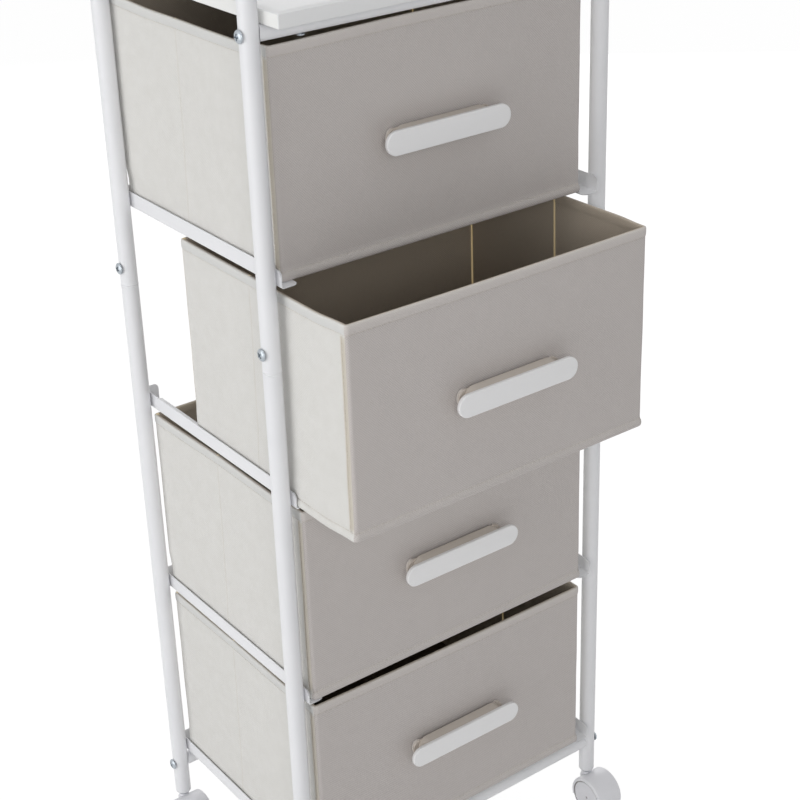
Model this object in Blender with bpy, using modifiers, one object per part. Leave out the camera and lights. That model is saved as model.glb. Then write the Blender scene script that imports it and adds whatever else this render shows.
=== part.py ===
"""Rolling drawer cart: a tube frame on swivel casters, with sliding fabric drawers under a top board.

Metres, +Z up. The front faces -Y and the left side -X. The origin lies on the floor, under the middle
of the box round the whole cart as it stands here, with its second drawer pulled part of the way out.
"""

import math

import bmesh
import bpy
from mathutils import Matrix, Vector

# Clearances
SEAT = 0.0003  # between faces that rest on or fit in each other
INSERT_CLEAR = 0.002  # round the loose base insert of a drawer
BOARD_SIDE_GAP = 0.002  # between the board's ends and the posts
SIDE_GAP_LEFT = 0.0042  # between a drawer's welt and the left rail
SIDE_GAP_RIGHT = 0.0126  # between a drawer's welt and the right rail
HEADROOM = 0.0075  # over a drawer, to the rail above
HEAD_CLEAR = 0.0009  # over the top drawer, to the screw heads under the cross tubes

# Frame tubes
POST_D = 0.019
POST_WALL = 0.0012
FOOT_ROUND = 0.003
FOOT_NUT_H = 0.018
SPIGOT_H = 0.045
JOINT_BELOW_RAIL = 0.087
HOOP_RISE = 0.120
HOOP_BEND_R = 0.045
CROSS_D = 0.016
CROSS_WALL = 0.0012
CROSS_PLUG = 0.018
FOOT_TO_CROSS = 0.045

# Drawer rails
RAIL_H = 0.018
RAIL_LEDGE = 0.0195
RAIL_SHEET = 0.0012
RAIL_FRONT = 0.012
RAIL_REAR = 0.0085
RAIL_TAB = 0.016
RAIL_ROUND = 0.010
RAIL_ABOVE_CROSS = 0.006

# Top board
BOARD_T = 0.014
BOARD_OVERHANG = 0.032
BOARD_EDGE = 0.0015

# Drawers, listed from the top one down
DRAWER_OPEN = (0.0, 0.104, 0.009, 0.0085)
DRAWER_W = 0.3825
DRAWER_D = 0.294
DRAWER_H = 0.233
DRAWER_WALL = 0.0035
DRAWER_FLOOR = 0.003
DRAWER_FRONT_SET = 0.001  # closed front, ahead of the front posts' axes
WELT_OUT = 0.002
WELT_H = 0.009
HEM_OUT = 0.0008
HEM_H = 0.010
INSERT_T = 0.003

# Drawer handles
HANDLE_L = 0.154
HANDLE_H = 0.025
HANDLE_D = 0.022
HANDLE_BAR = 0.009
HANDLE_FOOT_SPAN = 0.116
HANDLE_FOOT_D = 0.015
HANDLE_ROOT_D = 0.022

# Casters
WHEEL_D = 0.049
WHEEL_W = 0.0103
WHEEL_EDGE = 0.002
WHEEL_CLEAR = 0.0007
WHEEL_SIDE_GAP = 0.001
HOOD_WALL = 0.0016
HOOD_RIM = 0.0005
HOOD_SKIRT = 0.008  # how far the hood reaches below the axle
FOOT_ABOVE_CROWN = 0.0005
TRAIL = 0.020
WEB_WALL = 0.0022
AXLE_D = 0.006
STEM_D = 0.008
STEM_FLANGE_D = 0.012
STEM_FLANGE_T = 0.001
STEM_IN_FOOT = 0.016
STEM_IN_HOOD = 0.022

# Screws
SCREW_D = 0.006
SCREW_HEAD_D = 0.013
SCREW_HEAD_H = 0.0035
SCREW_CLEAR = 0.0003
JOINT_SCREW_RISE = 0.020
JOINT_SCREW_L = 0.010
CROSS_SCREW_GRIP = 0.012
BOARD_SCREW_D = 0.004
BOARD_SCREW_HEAD_D = 0.009
BOARD_SCREW_HEAD_H = 0.0026
BOARD_SCREW_GRIP = 0.009
BOARD_SCREW_INSET = 0.0545

# Facets round turned pieces
TUBE_SIDES = 16
CASTER_SIDES = 24
SCREW_SIDES = 12
BEND_STEPS = 6
CORNER_STEPS = 5

# Values that follow from the driving dimensions
POST_R = POST_D / 2
POST_BORE_R = POST_R - POST_WALL
SPIGOT_R = POST_BORE_R - SEAT
POST_SPAN_X = DRAWER_W + 2 * (WELT_OUT + RAIL_SHEET + SEAT + POST_R) + SIDE_GAP_LEFT + SIDE_GAP_RIGHT
POST_SPAN_Y = DRAWER_D - DRAWER_FRONT_SET + WELT_OUT + SEAT + RAIL_SHEET - RAIL_REAR
DRAWER_X = (SIDE_GAP_LEFT - SIDE_GAP_RIGHT) / 2
HOOD_R = WHEEL_D / 2 + WHEEL_CLEAR + HOOD_WALL
STEM_BORE_R = STEM_D / 2 + SEAT
WEB_HALF = STEM_BORE_R + WEB_WALL
WHEEL_INNER = WEB_HALF + WHEEL_SIDE_GAP
HOOD_HALF = WHEEL_INNER + WHEEL_W + HOOD_RIM
SCREW_HOLE_R = SCREW_D / 2 + SCREW_CLEAR
BOARD_HOLE_R = BOARD_SCREW_D / 2 + SCREW_CLEAR
TOP_HEADROOM = SEAT + BOARD_SCREW_HEAD_H + HEAD_CLEAR

AXLE_Z = WHEEL_D / 2
FOOT_Z = AXLE_Z + HOOD_R + FOOT_ABOVE_CROWN
COLLAR_Z = FOOT_Z - 2 * SEAT - STEM_FLANGE_T
BOTTOM_CROSS_Z = FOOT_Z + FOOT_TO_CROSS
LEVEL_PITCH = RAIL_SHEET + SEAT + DRAWER_H + HEADROOM
DRAWER_COUNT = len(DRAWER_OPEN)
RAIL_Z = [BOTTOM_CROSS_Z + CROSS_D / 2 + RAIL_ABOVE_CROSS + (DRAWER_COUNT - 1 - level) * LEVEL_PITCH
          for level in range(DRAWER_COUNT)]
DRAWER_Z = [z + RAIL_SHEET + SEAT for z in RAIL_Z]
TOP_CROSS_Z = DRAWER_Z[0] + DRAWER_H + TOP_HEADROOM + CROSS_D / 2
BOARD_Z = TOP_CROSS_Z + CROSS_D / 2 + SEAT
BOARD_W = POST_SPAN_X - POST_D - 2 * BOARD_SIDE_GAP
BOARD_D = POST_SPAN_Y + 2 * BOARD_OVERHANG
HOOP_Z = BOARD_Z + BOARD_T + HOOP_RISE
JOINT_Z = RAIL_Z[0] - JOINT_BELOW_RAIL

FRONT_Y = -POST_SPAN_Y / 2
REAR_Y = POST_SPAN_Y / 2
CLOSED_FRONT_Y = FRONT_Y - DRAWER_FRONT_SET
REACH_FRONT = CLOSED_FRONT_Y - max(DRAWER_OPEN) - SEAT - HANDLE_D
REACH_REAR = BOARD_D / 2
CORNERS = {
    "front_left": (-POST_SPAN_X / 2, FRONT_Y),
    "front_right": (POST_SPAN_X / 2, FRONT_Y),
    "rear_left": (-POST_SPAN_X / 2, REAR_Y),
    "rear_right": (POST_SPAN_X / 2, REAR_Y),
}
ALONG_X = Matrix.Rotation(math.pi / 2, 4, "Y")
ALONG_Y = Matrix.Rotation(math.pi / 2, 4, "X")


def clear_scene():
    """Remove every object that the file starts with."""
    for obj in list(bpy.data.objects):
        bpy.data.objects.remove(obj, do_unlink=True)


def make_collection(name, hidden=False):
    """A new collection of the scene; a hidden one is left out of renders."""
    collection = bpy.data.collections.new(name)
    collection.hide_render = hidden
    bpy.context.scene.collection.children.link(collection)
    return collection


def make_material(name, colour, roughness, metallic=0.0):
    """A Principled material with one plain colour."""
    material = bpy.data.materials.new(name)
    material.use_nodes = True
    shader = material.node_tree.nodes["Principled BSDF"]
    shader.inputs["Base Color"].default_value = (*colour, 1.0)
    shader.inputs["Roughness"].default_value = roughness
    shader.inputs["Metallic"].default_value = metallic
    return material


clear_scene()
PARTS = make_collection("rolling_drawer_cart")
CUTTERS = make_collection("cutters", hidden=True)
COATED_STEEL = make_material("white_coated_steel", (0.83, 0.83, 0.82), 0.35)
BOARD_WHITE = make_material("white_board", (0.80, 0.80, 0.80), 0.45)
ZINC = make_material("zinc_screw", (0.62, 0.62, 0.60), 0.35, 1.0)
FABRIC = make_material("taupe_fabric", (0.42, 0.40, 0.37), 0.95)
CARD = make_material("base_card", (0.24, 0.21, 0.17), 0.95)
HANDLE_WHITE = make_material("white_moulded_handle", (0.82, 0.82, 0.82), 0.4)
CASTER_WHITE = make_material("white_moulded_caster", (0.74, 0.74, 0.77), 0.4)


def make_empty(name, location, parent=None):
    """An empty that other pieces hang from."""
    empty = bpy.data.objects.new(name, None)
    empty.empty_display_size = 0.03
    empty.location = location
    empty.parent = parent
    PARTS.objects.link(empty)
    return empty


def shade(mesh):
    """Smooth round faces and keep real corners sharp."""
    mesh.shade_smooth()
    mesh.set_sharp_from_angle(angle=math.radians(35))


def place(name, mesh, material, parent, location=(0.0, 0.0, 0.0)):
    """Put a mesh into the parts collection as a named piece."""
    piece = bpy.data.objects.new(name, mesh)
    piece.location = location
    piece.parent = parent
    mesh.materials.clear()
    mesh.materials.append(material)
    PARTS.objects.link(piece)
    return piece


def boolean(piece, mesh, operation="DIFFERENCE"):
    """Cut a mesh, placed in the frame of the piece's parent, out of the piece, or join it on."""
    tool = bpy.data.objects.new(f"{piece.name}_tool", mesh)
    tool.parent = piece.parent
    tool.hide_render = True
    tool.display_type = "WIRE"
    CUTTERS.objects.link(tool)
    modifier = piece.modifiers.new(operation.lower(), "BOOLEAN")
    modifier.operation = operation
    modifier.solver = "EXACT"
    modifier.object = tool


def evaluated_mesh(obj):
    """The mesh of an object with its modifiers or bevel applied, welded; the object goes."""
    bpy.context.scene.collection.objects.link(obj)
    graph = bpy.context.evaluated_depsgraph_get()
    mesh = bpy.data.meshes.new_from_object(obj.evaluated_get(graph))
    work = bmesh.new()
    work.from_mesh(mesh)
    bmesh.ops.remove_doubles(work, verts=work.verts, dist=0.00001)
    work.to_mesh(mesh)
    work.free()
    bpy.data.objects.remove(obj, do_unlink=True)
    return mesh


def box(size, centre=(0.0, 0.0, 0.0), edge=0.0):
    """A box mesh of a size about a centre, with its edges rounded by edge where that is given."""
    mesh = bpy.data.meshes.new("box")
    work = bmesh.new()
    bmesh.ops.create_cube(work, size=1.0, matrix=Matrix.Translation(centre) @ Matrix.Diagonal((*size, 1.0)))
    if edge:
        bmesh.ops.bevel(work, geom=work.edges, offset=edge, segments=2, profile=0.5, affect="EDGES")
    work.to_mesh(mesh)
    work.free()
    return mesh


def rod(radius, start, end, sides=TUBE_SIDES, end_radius=None):
    """A cylinder between two points, or a cone frustum where the radius at its end is given."""
    start, end = Vector(start), Vector(end)
    turn = (end - start).to_track_quat("Z", "Y").to_matrix().to_4x4()
    mesh = bpy.data.meshes.new("rod")
    work = bmesh.new()
    bmesh.ops.create_cone(
        work,
        cap_ends=True,
        segments=sides,
        radius1=radius,
        radius2=radius if end_radius is None else end_radius,
        depth=(end - start).length,
        matrix=Matrix.Translation((start + end) / 2) @ turn,
    )
    work.to_mesh(mesh)
    work.free()
    shade(mesh)
    return mesh


def turned(profile, sides, closed=False, turn=None):
    """A shape turned about Z from (radius, height) points, listed down its outer side."""
    mesh = bpy.data.meshes.new("turned")
    edges = [(i, i + 1) for i in range(len(profile) - 1)]
    if closed:
        edges.append((len(profile) - 1, 0))
    mesh.from_pydata([(radius, 0.0, height) for radius, height in profile], edges, [])
    obj = bpy.data.objects.new("turned", mesh)
    screw = obj.modifiers.new("turn", "SCREW")
    screw.steps = sides
    screw.render_steps = sides
    screw.use_merge_vertices = True
    screw.merge_threshold = 0.00001
    mesh = evaluated_mesh(obj)
    if turn:
        mesh.transform(turn)
    shade(mesh)
    return mesh


def tube(points, radius):
    """A round bar along a line of points, with flat ends."""
    curve = bpy.data.curves.new("tube", "CURVE")
    curve.dimensions = "3D"
    curve.bevel_depth = radius
    curve.bevel_resolution = TUBE_SIDES // 2 - 2
    curve.use_fill_caps = True
    spline = curve.splines.new("POLY")
    spline.points.add(len(points) - 1)
    for point, position in zip(spline.points, points):
        point.co = (*position, 1.0)
    mesh = evaluated_mesh(bpy.data.objects.new("tube", curve))
    shade(mesh)
    return mesh


def plate(outline, thickness, turn):
    """A flat outline of (x, y) points given a thickness about its plane, then turned into place."""
    curve = bpy.data.curves.new("plate", "CURVE")
    curve.dimensions = "2D"
    curve.fill_mode = "BOTH"
    curve.extrude = thickness / 2
    spline = curve.splines.new("POLY")
    spline.use_cyclic_u = True
    spline.points.add(len(outline) - 1)
    for point, (x, y) in zip(spline.points, outline):
        point.co = (x, y, 0.0, 1.0)
    mesh = evaluated_mesh(bpy.data.objects.new("plate", curve))
    mesh.transform(turn)
    return mesh


def frame_at(origin, x_axis, y_axis):
    """The matrix that takes an outline's x and y to two axes at an origin."""
    turn = Matrix((x_axis, y_axis, x_axis.cross(y_axis))).transposed().to_4x4()
    return Matrix.Translation(origin) @ turn


def arc(centre, radius, start, end, steps):
    """Points on an arc between two angles in degrees."""
    angles = [math.radians(start + (end - start) * i / steps) for i in range(steps + 1)]
    return [(centre[0] + radius * math.cos(a), centre[1] + radius * math.sin(a)) for a in angles]


def cross_axes():
    """Each cross tube's name with its Y and Z."""
    return {
        "top_front": (FRONT_Y, TOP_CROSS_Z),
        "top_rear": (REAR_Y, TOP_CROSS_Z),
        "bottom_front": (FRONT_Y, BOTTOM_CROSS_Z),
        "bottom_rear": (REAR_Y, BOTTOM_CROSS_Z),
    }


def cross_hole(x, y, z):
    """A cutter for the screw that passes through a post along X."""
    return rod(SCREW_HOLE_R, (x - POST_D, y, z), (x + POST_D, y, z), SCREW_SIDES)


def joint_hole(x, y):
    """A cutter for the screw through the outboard walls of a post joint."""
    outboard = math.copysign(POST_D, x)
    z = JOINT_Z + JOINT_SCREW_RISE
    return rod(SCREW_HOLE_R, (x, y, z), (x + outboard, y, z), SCREW_SIDES)


def lower_post(name, x, y, root):
    """A post's lower length: spigot on top, rounded foot with a threaded seat for the caster's stem."""
    nut_z = FOOT_Z + FOOT_NUT_H
    spigot_bore_r = SPIGOT_R - POST_WALL
    foot = arc((POST_R - FOOT_ROUND, FOOT_Z + FOOT_ROUND), FOOT_ROUND, 0, -90, 3)
    profile = [(SPIGOT_R, JOINT_Z + SPIGOT_H), (SPIGOT_R, JOINT_Z), (POST_R, JOINT_Z), *foot]
    profile += [(STEM_BORE_R, FOOT_Z), (STEM_BORE_R, nut_z), (POST_BORE_R, nut_z)]
    profile += [(POST_BORE_R, JOINT_Z - SPIGOT_H), (spigot_bore_r, JOINT_Z - POST_WALL)]
    profile += [(spigot_bore_r, JOINT_Z + SPIGOT_H)]
    mesh = turned(profile, TUBE_SIDES, closed=True, turn=Matrix.Translation((x, y, 0.0)))
    post = place(f"lower_post_{name}", mesh, COATED_STEEL, root)
    boolean(post, cross_hole(x, y, BOTTOM_CROSS_Z))
    boolean(post, joint_hole(x, y))


def hoop_line(x, end_z):
    """The centre line of a side hoop, from one lower end over the top to the other."""
    bend_z = HOOP_Z - HOOP_BEND_R
    rear = arc((REAR_Y - HOOP_BEND_R, bend_z), HOOP_BEND_R, 0, 90, BEND_STEPS)
    front = arc((FRONT_Y + HOOP_BEND_R, bend_z), HOOP_BEND_R, 90, 180, BEND_STEPS)
    flat = [(REAR_Y, end_z), *rear, *front, (FRONT_Y, end_z)]
    return [(x, y, z) for y, z in flat]


def upper_hoop(name, x, root):
    """The upper posts of one side, bent from one tube that passes over the board."""
    end_z = JOINT_Z + SEAT
    hoop = place(f"upper_hoop_{name}", tube(hoop_line(x, end_z), POST_R), COATED_STEEL, root)
    boolean(hoop, tube(hoop_line(x, end_z - POST_D), POST_BORE_R))
    for y in (FRONT_Y, REAR_Y):
        boolean(hoop, cross_hole(x, y, TOP_CROSS_Z))
        boolean(hoop, joint_hole(x, y))


def board_screw_places():
    """X and Y of the board's screws, by corner."""
    return {name: (math.copysign(abs(x) - BOARD_SCREW_INSET, x), y) for name, (x, y) in CORNERS.items()}


def cross_tube(name, y, z, root):
    """A tube between two posts, coped to them, with a threaded plug in each end."""
    half = POST_SPAN_X / 2
    plug = half - POST_R - CROSS_PLUG
    bore_r = CROSS_D / 2 - CROSS_WALL
    profile = [(CROSS_D / 2, half), (CROSS_D / 2, -half), (SCREW_HOLE_R, -half), (SCREW_HOLE_R, -plug)]
    profile += [(bore_r, -plug), (bore_r, plug), (SCREW_HOLE_R, plug), (SCREW_HOLE_R, half)]
    mesh = turned(profile, TUBE_SIDES, closed=True, turn=Matrix.Translation((0.0, y, z)) @ ALONG_X)
    piece = place(f"cross_tube_{name}", mesh, COATED_STEEL, root)
    for x in (-half, half):
        boolean(piece, rod(POST_R + SEAT, (x, y, z - CROSS_D), (x, y, z + CROSS_D)))
    if z == TOP_CROSS_Z:
        for x, screw_y in board_screw_places().values():
            if screw_y == y:
                boolean(piece, rod(BOARD_HOLE_R, (x, y, z - CROSS_D), (x, y, z + CROSS_D), SCREW_SIDES))


def drawer_rail(name, side, z, root):
    """An angle rail: flange on the posts, ledge inwards at its foot, stop tab at its rear end.

    side is -1 for the left and 1 for the right; z is the underside of the ledge.
    """
    flange_x = side * (POST_SPAN_X / 2 - POST_R - SEAT)
    front, rear = FRONT_Y - RAIL_FRONT, REAR_Y + RAIL_REAR
    flange_round = arc((front + RAIL_ROUND, RAIL_H - RAIL_ROUND), RAIL_ROUND, 180, 90, CORNER_STEPS)
    flange = [(rear, 0.0), (front, 0.0), *flange_round, (rear, RAIL_H)]
    ledge_round = arc((RAIL_LEDGE - RAIL_ROUND, front + RAIL_ROUND), RAIL_ROUND, -90, 0, CORNER_STEPS)
    ledge = [(0.0, front), *ledge_round, (RAIL_LEDGE, rear), (0.0, rear)]
    tab_round = arc((RAIL_TAB - RAIL_ROUND, RAIL_H - RAIL_ROUND), RAIL_ROUND, 0, 90, CORNER_STEPS)
    tab = [(0.0, 0.0), (RAIL_TAB, 0.0), *tab_round, (0.0, RAIL_H)]
    inwards = Vector((-side, 0.0, 0.0))
    half_sheet = RAIL_SHEET / 2
    to_wall = frame_at((flange_x - side * half_sheet, 0.0, z), Vector((0, 1, 0)), Vector((0, 0, 1)))
    to_floor = frame_at((flange_x, 0.0, z + half_sheet), inwards, Vector((0, 1, 0)))
    to_end = frame_at((flange_x, rear - half_sheet, z), inwards, Vector((0, 0, 1)))
    rail = place(name, plate(flange, RAIL_SHEET, to_wall), COATED_STEEL, root)
    boolean(rail, plate(ledge, RAIL_SHEET, to_floor), "UNION")
    boolean(rail, plate(tab, RAIL_SHEET, to_end), "UNION")


def top_board(root):
    """The panel on the top cross tubes, with blind holes for the screws from below."""
    mesh = box((BOARD_W, BOARD_D, BOARD_T), (0.0, 0.0, BOARD_Z + BOARD_T / 2), BOARD_EDGE)
    board = place("top_board", mesh, BOARD_WHITE, root)
    for x, y in board_screw_places().values():
        top = BOARD_Z + BOARD_SCREW_GRIP + SEAT
        boolean(board, rod(BOARD_HOLE_R, (x, y, BOARD_Z - BOARD_T), (x, y, top), SCREW_SIDES))


def screw(name, sizes, length, seat, direction, root):
    """A pan-head screw: seat is the middle of the head's underside, direction the way it drives.

    sizes are the shank's diameter, the head's diameter and the head's height.
    """
    shank_r, head_r, head_h = sizes[0] / 2, sizes[1] / 2, sizes[2]
    profile = [(0.0, head_h), (head_r * 0.55, head_h * 0.9), (head_r, head_h * 0.35)]
    profile += [(head_r, 0.0), (shank_r, 0.0), (shank_r, shank_r / 2 - length), (shank_r / 2, -length)]
    profile += [(0.0, -length)]
    turn = Vector(direction).to_track_quat("-Z", "Y").to_matrix().to_4x4()
    place(name, turned(profile, SCREW_SIDES, turn=turn), ZINC, root, seat)


def frame_screws(root):
    """The screws of the post joints, the cross tubes and the board."""
    machine_screw = (SCREW_D, SCREW_HEAD_D, SCREW_HEAD_H)
    cross_length = POST_D + 2 * SEAT + CROSS_SCREW_GRIP
    joint_screw_z = JOINT_Z + JOINT_SCREW_RISE
    for name, (x, y) in CORNERS.items():
        side = math.copysign(1.0, x)
        head_x, inwards = x + side * (POST_R + SEAT), (-side, 0.0, 0.0)
        screw(f"joint_screw_{name}", machine_screw, JOINT_SCREW_L, (head_x, y, joint_screw_z), inwards, root)
        for end, z in (("top", TOP_CROSS_Z), ("bottom", BOTTOM_CROSS_Z)):
            screw(f"{end}_tube_screw_{name}", machine_screw, cross_length, (head_x, y, z), inwards, root)
    board_screw = (BOARD_SCREW_D, BOARD_SCREW_HEAD_D, BOARD_SCREW_HEAD_H)
    board_length = CROSS_D + 2 * SEAT + BOARD_SCREW_GRIP
    for name, (x, y) in board_screw_places().items():
        seat = (x, y, TOP_CROSS_Z - CROSS_D / 2 - SEAT)
        screw(f"board_screw_{name}", board_screw, board_length, seat, (0.0, 0.0, 1.0), root)


def drawer(number, slide):
    """A fabric box with hem and welt, its base insert and its handle, about the middle of its front foot."""
    middle = (0.0, DRAWER_D / 2, DRAWER_H / 2)
    fabric = place(f"drawer_{number}_box", box((DRAWER_W, DRAWER_D, DRAWER_H), middle), FABRIC, slide)
    for grown, height, z in ((WELT_OUT, WELT_H, WELT_H / 2), (HEM_OUT, HEM_H, DRAWER_H - HEM_H / 2)):
        band = (DRAWER_W + 2 * grown, DRAWER_D + 2 * grown, height)
        boolean(fabric, box(band, (0.0, DRAWER_D / 2, z)), "UNION")
    inside = (DRAWER_W - 2 * DRAWER_WALL, DRAWER_D - 2 * DRAWER_WALL, DRAWER_H)
    boolean(fabric, box(inside, (0.0, DRAWER_D / 2, DRAWER_FLOOR + DRAWER_H / 2)))

    insert = (inside[0] - 2 * INSERT_CLEAR, inside[1] - 2 * INSERT_CLEAR, INSERT_T)
    insert_z = DRAWER_FLOOR + SEAT + INSERT_T / 2
    place(f"drawer_{number}_base_insert", box(insert, (0.0, DRAWER_D / 2, insert_z)), CARD, slide)

    end_x, end_r = (HANDLE_L - HANDLE_H) / 2, HANDLE_H / 2
    face = arc((end_x, 0.0), end_r, -90, 90, 2 * CORNER_STEPS)
    face += arc((-end_x, 0.0), end_r, 90, 270, 2 * CORNER_STEPS)
    bar_y, bar_z = -SEAT - HANDLE_D + HANDLE_BAR / 2, DRAWER_H / 2
    to_front = Matrix.Translation((0.0, bar_y, bar_z)) @ ALONG_Y
    handle = place(f"drawer_{number}_handle", plate(face, HANDLE_BAR, to_front), HANDLE_WHITE, slide)
    for x in (-HANDLE_FOOT_SPAN / 2, HANDLE_FOOT_SPAN / 2):
        seat, root = (x, -SEAT, bar_z), (x, bar_y, bar_z)
        boolean(handle, rod(HANDLE_FOOT_D / 2, seat, root, TUBE_SIDES, HANDLE_ROOT_D / 2), "UNION")


def caster(name, swivel):
    """A twin-wheel caster about its stem's axis at floor level: stem, hood and wheel set, trailing forward."""
    stem_top, stem_foot = FOOT_Z + STEM_IN_FOOT, COLLAR_Z - STEM_IN_HOOD
    stem_r, flange_r, flange_z = STEM_D / 2, STEM_FLANGE_D / 2, FOOT_Z - SEAT
    profile = [(0.0, stem_top), (stem_r, stem_top), (stem_r, flange_z), (flange_r, flange_z)]
    profile += [(flange_r, flange_z - STEM_FLANGE_T), (stem_r, flange_z - STEM_FLANGE_T), (stem_r, stem_foot)]
    profile += [(0.0, stem_foot)]
    place(f"caster_stem_{name}", turned(profile, SCREW_SIDES), ZINC, swivel)

    axle = Vector((0.0, -TRAIL, AXLE_Z))
    across = Vector((1.0, 0.0, 0.0))
    shell = rod(HOOD_R, axle - across * HOOD_HALF, axle + across * HOOD_HALF, CASTER_SIDES)
    hood = place(f"caster_hood_{name}", shell, CASTER_WHITE, swivel)
    for side in (-1, 1):
        inner, outer = axle + across * side * WEB_HALF, axle + across * side * 2 * HOOD_HALF
        boolean(hood, rod(HOOD_R - HOOD_WALL, inner, outer, CASTER_SIDES))
    below = (3 * HOOD_HALF, 3 * HOOD_R, 2 * HOOD_R)
    boolean(hood, box(below, axle - Vector((0.0, 0.0, HOOD_SKIRT + HOOD_R))))
    boolean(hood, rod(WEB_HALF + SEAT, (0.0, 0.0, AXLE_Z), (0.0, 0.0, COLLAR_Z)), "UNION")
    boolean(hood, rod(STEM_BORE_R, (0.0, 0.0, stem_foot - SEAT), (0.0, 0.0, COLLAR_Z + STEM_D), SCREW_SIDES))
    boolean(hood, rod(AXLE_D / 2 + SEAT, axle - across * HOOD_HALF, axle + across * HOOD_HALF, SCREW_SIDES))

    wheel_r, edge_r, outer = WHEEL_D / 2, WHEEL_D / 2 - WHEEL_EDGE, WHEEL_INNER + WHEEL_W
    upper = [(0.0, outer), (edge_r, outer), (wheel_r, outer - WHEEL_EDGE), (wheel_r, WHEEL_INNER + WHEEL_EDGE)]
    upper += [(edge_r, WHEEL_INNER), (AXLE_D / 2, WHEEL_INNER)]
    lower = [(radius, -height) for radius, height in reversed(upper)]
    wheels = turned(upper + lower, CASTER_SIDES, turn=ALONG_X)
    place(f"caster_wheels_{name}", wheels, CASTER_WHITE, swivel, axle)


def main():
    """Build the cart, each moving group under an empty on its joint's axis."""
    root = make_empty("cart_root", (0.0, -(REACH_FRONT + REACH_REAR) / 2, 0.0))
    for name, (x, y) in CORNERS.items():
        lower_post(name, x, y, root)
    for name, x in (("left", -POST_SPAN_X / 2), ("right", POST_SPAN_X / 2)):
        upper_hoop(name, x, root)
    for name, (y, z) in cross_axes().items():
        cross_tube(name, y, z, root)
    for level, z in enumerate(RAIL_Z, start=1):
        drawer_rail(f"rail_{level}_left", -1, z, root)
        drawer_rail(f"rail_{level}_right", 1, z, root)
    top_board(root)
    frame_screws(root)
    for number, (z, opened) in enumerate(zip(DRAWER_Z, DRAWER_OPEN), start=1):
        slide = make_empty(f"drawer_{number}_slide", (DRAWER_X, CLOSED_FRONT_Y - opened, z), root)
        drawer(number, slide)
    for name, (x, y) in CORNERS.items():
        caster(name, make_empty(f"caster_swivel_{name}", (x, y, 0.0), root))


main()
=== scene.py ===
"""Looks of the rolling drawer cart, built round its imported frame.

White powder-coated tube frame, white board, four sewn drawers with moulded pulls, four twin-wheel casters.
Metres, +Z up; the front faces -Y and the left side -X. The drawers stand as in the photograph.
"""

import logging
import math
from dataclasses import dataclass, replace
from enum import Enum
from typing import Any, Iterable, Sequence

import bmesh
import bpy
from mathutils import Matrix, Vector, noise


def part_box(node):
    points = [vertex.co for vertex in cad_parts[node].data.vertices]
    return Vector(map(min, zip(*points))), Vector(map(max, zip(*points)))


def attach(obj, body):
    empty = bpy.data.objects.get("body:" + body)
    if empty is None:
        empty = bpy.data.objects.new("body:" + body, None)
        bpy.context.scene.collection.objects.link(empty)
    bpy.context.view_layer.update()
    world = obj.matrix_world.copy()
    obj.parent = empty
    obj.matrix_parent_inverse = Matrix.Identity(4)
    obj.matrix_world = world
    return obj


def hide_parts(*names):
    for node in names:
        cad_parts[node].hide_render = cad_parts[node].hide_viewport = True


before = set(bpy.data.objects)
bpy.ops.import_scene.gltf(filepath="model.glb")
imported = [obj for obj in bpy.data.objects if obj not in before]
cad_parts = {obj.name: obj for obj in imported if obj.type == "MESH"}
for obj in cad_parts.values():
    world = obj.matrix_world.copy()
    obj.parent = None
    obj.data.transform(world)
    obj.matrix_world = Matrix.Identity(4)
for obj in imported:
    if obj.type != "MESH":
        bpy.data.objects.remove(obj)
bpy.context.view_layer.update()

logging.basicConfig(level=logging.INFO, format="%(message)s")
LOG = logging.getLogger("drawer_cart")

CORNERS = ("front_left", "front_right", "rear_left", "rear_right")
SIDES = ("left", "right")
LEVELS = (1, 2, 3, 4)
MM = 0.001
CREASE = 40.0  # degrees; an edge sharper than this stays sharp, where a piece names no other angle
ARRIS_ANGLE = 60.0  # degrees; an edge sharper than this is rounded
ARRIS_FACETS = 2
HEAD_RISE = 0.27  # height of a pan head as a share of its width
TO_FRONT = (math.pi / 2, 0.0, math.pi / 4)  # turns that bring a panel's plane to a pattern's lattice
TO_SIDE = (0.0, math.pi / 2, math.pi / 4)
TO_FLOOR = (0.0, 0.0, math.pi / 4)


def linear(code: str) -> tuple[float, float, float, float]:
    """Turn an sRGB hex value into linear RGBA.

    Args:
        code: six hex digits, with or without a leading mark.

    Returns:
        Red, green, blue and an alpha of 1.
    """
    digits = code.lstrip("#")
    parts = [int(digits[i:i + 2], 16) / 255 for i in (0, 2, 4)]
    red, green, blue = (p / 12.92 if p <= 0.04045 else ((p + 0.055) / 1.055) ** 2.4 for p in parts)
    return red, green, blue, 1.0


def add_node(tree: bpy.types.NodeTree, kind: str, settings: dict[str, Any] | None = None,
             inputs: dict[Any, Any] | None = None) -> bpy.types.Node:
    """Add a node to a tree, with its settings and links.

    Args:
        tree: the material or geometry tree.
        kind: the node's type.
        settings: the node's own properties.
        inputs: input name or index to a value, or to the output socket that feeds it.

    Returns:
        The new node.
    """
    made = tree.nodes.new(kind)
    for name, value in (settings or {}).items():
        setattr(made, name, value)
    for key, value in (inputs or {}).items():
        if isinstance(value, bpy.types.NodeSocket):
            tree.links.new(value, made.inputs[key])
        else:
            made.inputs[key].default_value = value
    return made


def smooth(low: float, high: float, value: float) -> float:
    """Ease from 0 at low to 1 at high."""
    t = min(1.0, max(0.0, (value - low) / (high - low)))
    return t * t * (3 - 2 * t)


def hump(value: float, centre: float, width: float) -> float:
    """A bell of height 1 about a centre."""
    return math.exp(-(((value - centre) / width) ** 2))


def quarter(steps: int) -> list[float]:
    """Angles from 0 to a right angle, in equal steps."""
    return [math.radians(90 * i / steps) for i in range(steps + 1)]


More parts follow.
